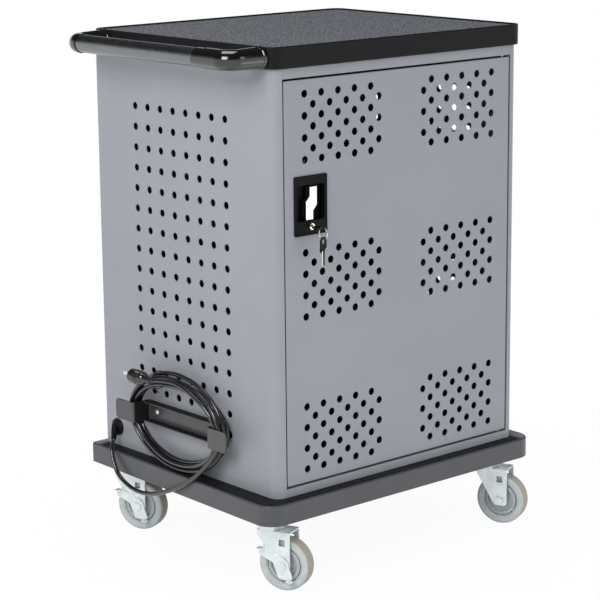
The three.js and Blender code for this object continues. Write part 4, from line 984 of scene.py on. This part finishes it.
# Grip: grey satin plating with fine rings from turning and duller patches where hands hold it.
grip_coat, tree, surface = new_finish("grip_satin_coat", Metallic=1.0)
tree.links.new(two_tone(tree, mottle(tree, 70), "7d8083", "888b8e"), surface.inputs["Base Color"])
tree.links.new(between(tree, mottle(tree, 12), 0.25, 0.34), surface.inputs["Roughness"])
relief(tree, surface, mottle(tree, 2, 1, stretch=(0.2, 3, 0.2)), 0.01)
grip = turned(
    "grip",
    (GRIP_X, GRIP_ENDS[0], GRIP_Z),
    (0, 1, 0),
    [
        (0, GRIP_RADIUS - 0.6),
        (0.6, GRIP_RADIUS),
        (GRIP_ENDS[1] - GRIP_ENDS[0] - 1.2, GRIP_RADIUS),
        (0.6, GRIP_RADIUS - 0.6),
    ],
)
fit(grip, grip_coat, "cabinet", "grip_coat", "handle_grip")

# Elbow plastic: piano black, almost a mirror, with a trace of flow lines.
elbow_gloss, tree, surface = new_finish(
    "gloss_black_plastic",
    Specular_IOR_Level=0.6,
    Coat_Weight=0.8,
    Coat_Roughness=0.03,
)
tree.links.new(two_tone(tree, mottle(tree, 25), "08080a", "0f0f11"), surface.inputs["Base Color"])
tree.links.new(between(tree, mottle(tree, 16), 0.1, 0.2), surface.inputs["Roughness"])
relief(tree, surface, mottle(tree, 6), 0.02)
for name, (end, y, sleeve) in SLEEVES.items():
    elbow = turned(
        "elbow_" + name,
        (ELBOW_ROOT_X, y, GRIP_Z),
        (-1, 0, 0),
        [
            (0, 20.6),
            (0.8, 21.4),
            (5, 21.4),
            (0.8, 20.4),
            (0.4, 19.8),
            (18, 19.2),
            (22.65, ELBOW_RADIUS),
        ],
    )
    bend = place(GRIP_X + ELBOW_BEND, y - end * ELBOW_BEND, GRIP_Z)
    choose(elbow, "polygons", lambda middle, normal: normal.x < -0.9 and middle.x < -360)
    bpy.ops.mesh.spin(steps=14, angle=math.radians(90), center=bend, axis=(0, 0, -end))
    along = y - end * ELBOW_BEND
    for advance, widen in sleeve:
        along -= end * advance
        bpy.ops.mesh.extrude_region_move(TRANSFORM_OT_translate={"value": (0, -end * advance * MM, 0)})
        bpy.ops.transform.resize(value=(widen,) * 3, center_override=place(GRIP_X, along, GRIP_Z))
    bpy.ops.mesh.select_all(action="SELECT")
    bpy.ops.mesh.remove_doubles(threshold=0.00001)
    bpy.ops.mesh.normals_make_consistent(inside=False)
    done()
    fit(elbow, elbow_gloss, "cabinet", "elbow_gloss", "handle_elbow_" + name)

# Cord bracket: a strip of steel folded into a tray with two turned-out lips, screwed to the left
# side. The lead is wound round it and the lips keep the turns on. Semi-gloss charcoal enamel.
HOOK_WALL = -311.4
HOOK_LIP_X = -353.2
HOOK_ENDS = (-113.5, 119.5)
HOOK_TIPS = (-167.5, 173.5)
HOOK_LEVELS = (251, 291)
HOOK_SHEET = 3
HOOK_FLANGE = 16
FLANGE_SHEET = 2.5
FLANGE_INSET = 9
HOOK_BENDS = {5: (HOOK_WALL, HOOK_LIP_X), 2: (HOOK_WALL - HOOK_SHEET, HOOK_LIP_X + HOOK_SHEET)}
LIP_CORNER = 9
SCREW_PLACES = (-84, 90)

# Bracket enamel: dark charcoal, glossier than the base, with a fine peel.
bracket_enamel, tree, surface = new_finish("bracket_charcoal_enamel", Coat_Weight=0.2)
tree.links.new(two_tone(tree, mottle(tree, 60), "3d3d40", "48484b"), surface.inputs["Base Color"])
tree.links.new(between(tree, mottle(tree, 14), 0.3, 0.42), surface.inputs["Roughness"])
relief(tree, surface, mottle(tree, 1.2), 0.05)
bracket = block(
    "cord_bracket",
    (HOOK_WALL - HOOK_SHEET, HOOK_ENDS[0], HOOK_LEVELS[0]),
    (HOOK_WALL, HOOK_ENDS[1], HOOK_LEVELS[1]),
)
inner_ends = (HOOK_ENDS[0] + HOOK_SHEET, HOOK_ENDS[1] - HOOK_SHEET)
for end in inner_ends:
    choose(bracket, "polygons", lambda middle, normal: True)
    bpy.ops.mesh.bisect(plane_co=place(0, end, 0), plane_no=(0, 1, 0))
    done()
choose(
    bracket,
    "polygons",
    lambda middle, normal: normal.x < -0.9 and not inner_ends[0] < middle.y < inner_ends[1],
)
for reach in (HOOK_LIP_X - HOOK_WALL + 2 * HOOK_SHEET, -HOOK_SHEET):
    bpy.ops.mesh.extrude_region_move(TRANSFORM_OT_translate={"value": (reach * MM, 0, 0)})
done()
for end, tip in zip(HOOK_ENDS, HOOK_TIPS):
    choose(
        bracket,
        "polygons",
        lambda middle, normal: abs(middle.y - end) < 0.1 and middle.x < HOOK_LIP_X + HOOK_SHEET,
    )
    bpy.ops.mesh.extrude_region_move(TRANSFORM_OT_translate={"value": (0, (tip - end) * MM, 0)})
    done()
choose(bracket, "polygons", lambda middle, normal: True)
bpy.ops.mesh.dissolve_limited(angle_limit=math.radians(1))
done()
for radius, planes in HOOK_BENDS.items():
    round_off(
        bracket,
        radius,
        4,
        lambda middle, way: abs(way.z) > 0.9
        and min(abs(middle.x - plane) for plane in planes) < 0.1
        and min(abs(middle.y - end) for end in HOOK_ENDS + inner_ends) < 0.1,
    )
round_off(
    bracket,
    LIP_CORNER,
    6,
    lambda middle, way: abs(way.x) > 0.9 and min(abs(middle.y - tip) for tip in HOOK_TIPS) < 0.1,
)
worked(bracket, "BEVEL", width=0.5 * MM, segments=2, limit_method="ANGLE", use_clamp_overlap=False)
flanges = []
for level, inwards in zip(HOOK_LEVELS, (1, -1)):
    other = level + inwards * FLANGE_SHEET
    flange = block(
        "bracket_flange",
        (HOOK_WALL - HOOK_SHEET - HOOK_FLANGE, HOOK_ENDS[0] + FLANGE_INSET, min(level, other)),
        (HOOK_WALL - HOOK_SHEET + 0.5, HOOK_ENDS[1] - FLANGE_INSET, max(level, other)),
    )
    round_off(flange, 0.8, 3, lambda middle, way: abs(way.y) > 0.9 and middle.x < HOOK_WALL - 5)
    flanges.append(flange)
take(bracket)
for flange in flanges:
    flange.select_set(True)
bpy.ops.object.join()
fit(bracket, bracket_enamel, "cabinet", "base_enamel", "cord_hook")
# The flange tops and the faces of the arms take the ledge's painted shade: near black for the dark
# ceiling they reflect and the shadow of the turns.
bracket.data.materials.append(painted_shade_coat)
for face in bracket.data.polygons:
    depth = (face.center.x - place(0, 0, 0).x) / MM
    on_arm = abs(face.normal.y) > 0.7 and HOOK_LIP_X + HOOK_SHEET < depth < HOOK_WALL - HOOK_SHEET
    face.material_index = int(face.normal.z > 0.9 or on_arm)
for number, y in enumerate(SCREW_PLACES):
    screw = turned(
        f"bracket_screw_{number}",
        (HOOK_WALL - HOOK_SHEET, y, sum(HOOK_LEVELS) / 2),
        (-1, 0, 0),
        [(-1, 4.6), (2.2, 4.6), (0.9, 3.6), (0.3, 2.4), (0, 1.8), (-0.9, 1.6)],
        sides=32,
    )
    fit(screw, zinc_plate, "cabinet", "zinc_plate")

# Gland: a black rubber boot clamped in the side panel. Its tapered nozzle turns the lead down and
# keeps it from kinking.
GLAND_SPOT = (-311.3, 225, 213)
NOZZLE_ROOT = (-319.8, 225, 213)
NOZZLE_WAY = (-0.5217, -0.5126, -0.682)

# Boot rubber: dead black and matt, with a fine moulded grain.
boot_rubber, tree, surface = new_finish("black_boot_rubber", Specular_IOR_Level=0.2)
tree.links.new(two_tone(tree, mottle(tree, 8), "08080a", "101012"), surface.inputs["Base Color"])
tree.links.new(between(tree, mottle(tree, 4), 0.45, 0.6), surface.inputs["Roughness"])
relief(tree, surface, mottle(tree, 0.8), 0.05)
boot = turned(
    "cord_boot",
    GLAND_SPOT,
    (-1, 0, 0),
    [
        (0, 16.2),
        (0.8, 17),
        (2.8, 17),
        (0.8, 16.2),
        (0.2, 14.6),
        (0.8, 13.8),
        (1.4, 11),
        (0.8, 7),
        (0.2, 2),
    ],
)
nozzle = turned(
    "boot_nozzle",
    NOZZLE_ROOT,
    NOZZLE_WAY,
    [
        (-5, 6.8),
        (13, 6.8),
        (0.4, 6.2),
        (1.6, 6.2),
        (0.4, 6.6),
        (6, 6),
        (0.4, 5.5),
        (1.6, 5.5),
        (0.4, 5.8),
        (8, 5.2),
    ],
    sides=32,
)
take(boot)
nozzle.select_set(True)
bpy.ops.object.join()
fit(boot, boot_rubber, "cabinet", "cord_rubber", "cord_gland")

# Plug: a moulded black rubber mains plug with grip ridges, a ribbed tail that keeps the lead from
# kinking, and three bright pins.
PLUG_AXIS = (-363.3, 351)
PLUG_RADIUS = 14
PLUG_TAIL = 44
PLUG_RIDGES = 4
PIN_ROOT = 103
PIN_REACH = 17
BLADE_PLACE = (6.35, 3.5)
BLADE_HALF = (0.8, 3.25)
BLADE_EDGE = 0.5
GROUND_DROP = 8.4
GROUND_RADIUS = 2.4
plug = turned(
    "plug_body",
    (PLUG_AXIS[0], PLUG_TAIL, PLUG_AXIS[1]),
    (0, 1, 0),
    [
        (0, 5.2),
        (4, 5.6),
        (0.5, 5.0),
        (1.5, 5.0),
        (0.5, 6.2),
        (4, 6.6),
        (0.5, 5.8),
        (1.5, 5.8),
        (0.5, 7.2),
        (4, 7.8),
        (1.5, 10),
        (4, 12.4),
        (4, PLUG_RADIUS - 0.4),
        *[(2, PLUG_RADIUS - 1), (2, PLUG_RADIUS)] * PLUG_RIDGES,
        (15, PLUG_RADIUS),
        (1, PLUG_RADIUS - 1),
    ],
)
for name, side in (("left", -1), ("right", 1)):
    x = PLUG_AXIS[0] + side * BLADE_PLACE[0]
    z = PLUG_AXIS[1] + BLADE_PLACE[1]
    blade = block(
        "plug_pin_" + name,
        (x - BLADE_HALF[0], PIN_ROOT, z - BLADE_HALF[1]),
        (x + BLADE_HALF[0], PIN_ROOT + 2 + PIN_REACH, z + BLADE_HALF[1]),
    )
    round_off(blade, BLADE_EDGE, 2, lambda middle, way: middle.y > PIN_ROOT + PIN_REACH)
    fit(blade, chrome_plate, "cabinet", "chrome_plate")
ground = turned(
    "plug_pin_ground",
    (PLUG_AXIS[0], PIN_ROOT, PLUG_AXIS[1] - GROUND_DROP),
    (0, 1, 0),
    [(0, GROUND_RADIUS), (PIN_REACH - 1, GROUND_RADIUS), (2, GROUND_RADIUS - 0.6), (1, 0.6)],
    sides=24,
)
fit(ground, chrome_plate, "cabinet", "chrome_plate")
fit(plug, cord_rubber, "cabinet", "cord_rubber", "power_plug")

# Tie: a short wire in a black sleeve, wrapped once round the turns behind the plug and left with its
# two ends standing off.
TIE_MIDDLE = (-351, 36, 353)
TIE_RADIUS = (16.4, 18)
TIE_HALF = 0.8
TIE_EDGE = 0.7
TIE_ENDS = {
    "upper": ((-366, 36, 362), (-0.2, -0.6, 0.55), 17),
    "lower": ((-367, 36, 346), (-0.15, -0.9, -0.3), 30),
}
tie = spun(
    "wire_tie",
    TIE_MIDDLE,
    (0, 1, 0),
    (0, 0, 1),
    (-TIE_HALF, TIE_RADIUS[0]),
    (TIE_HALF, TIE_RADIUS[1]),
    [(radius, TIE_EDGE) for radius in TIE_RADIUS],
    segments=3,
)
fit(tie, cord_rubber, "cabinet", "cord_rubber", angle=80)
for name, (start, way, reach) in TIE_ENDS.items():
    steps = [(0, TIE_HALF), (reach, TIE_HALF), (0.4, 0.5)]
    tail = turned("tie_end_" + name, start, way, steps, sides=16)
    fit(tail, cord_rubber, "cabinet", "cord_rubber")
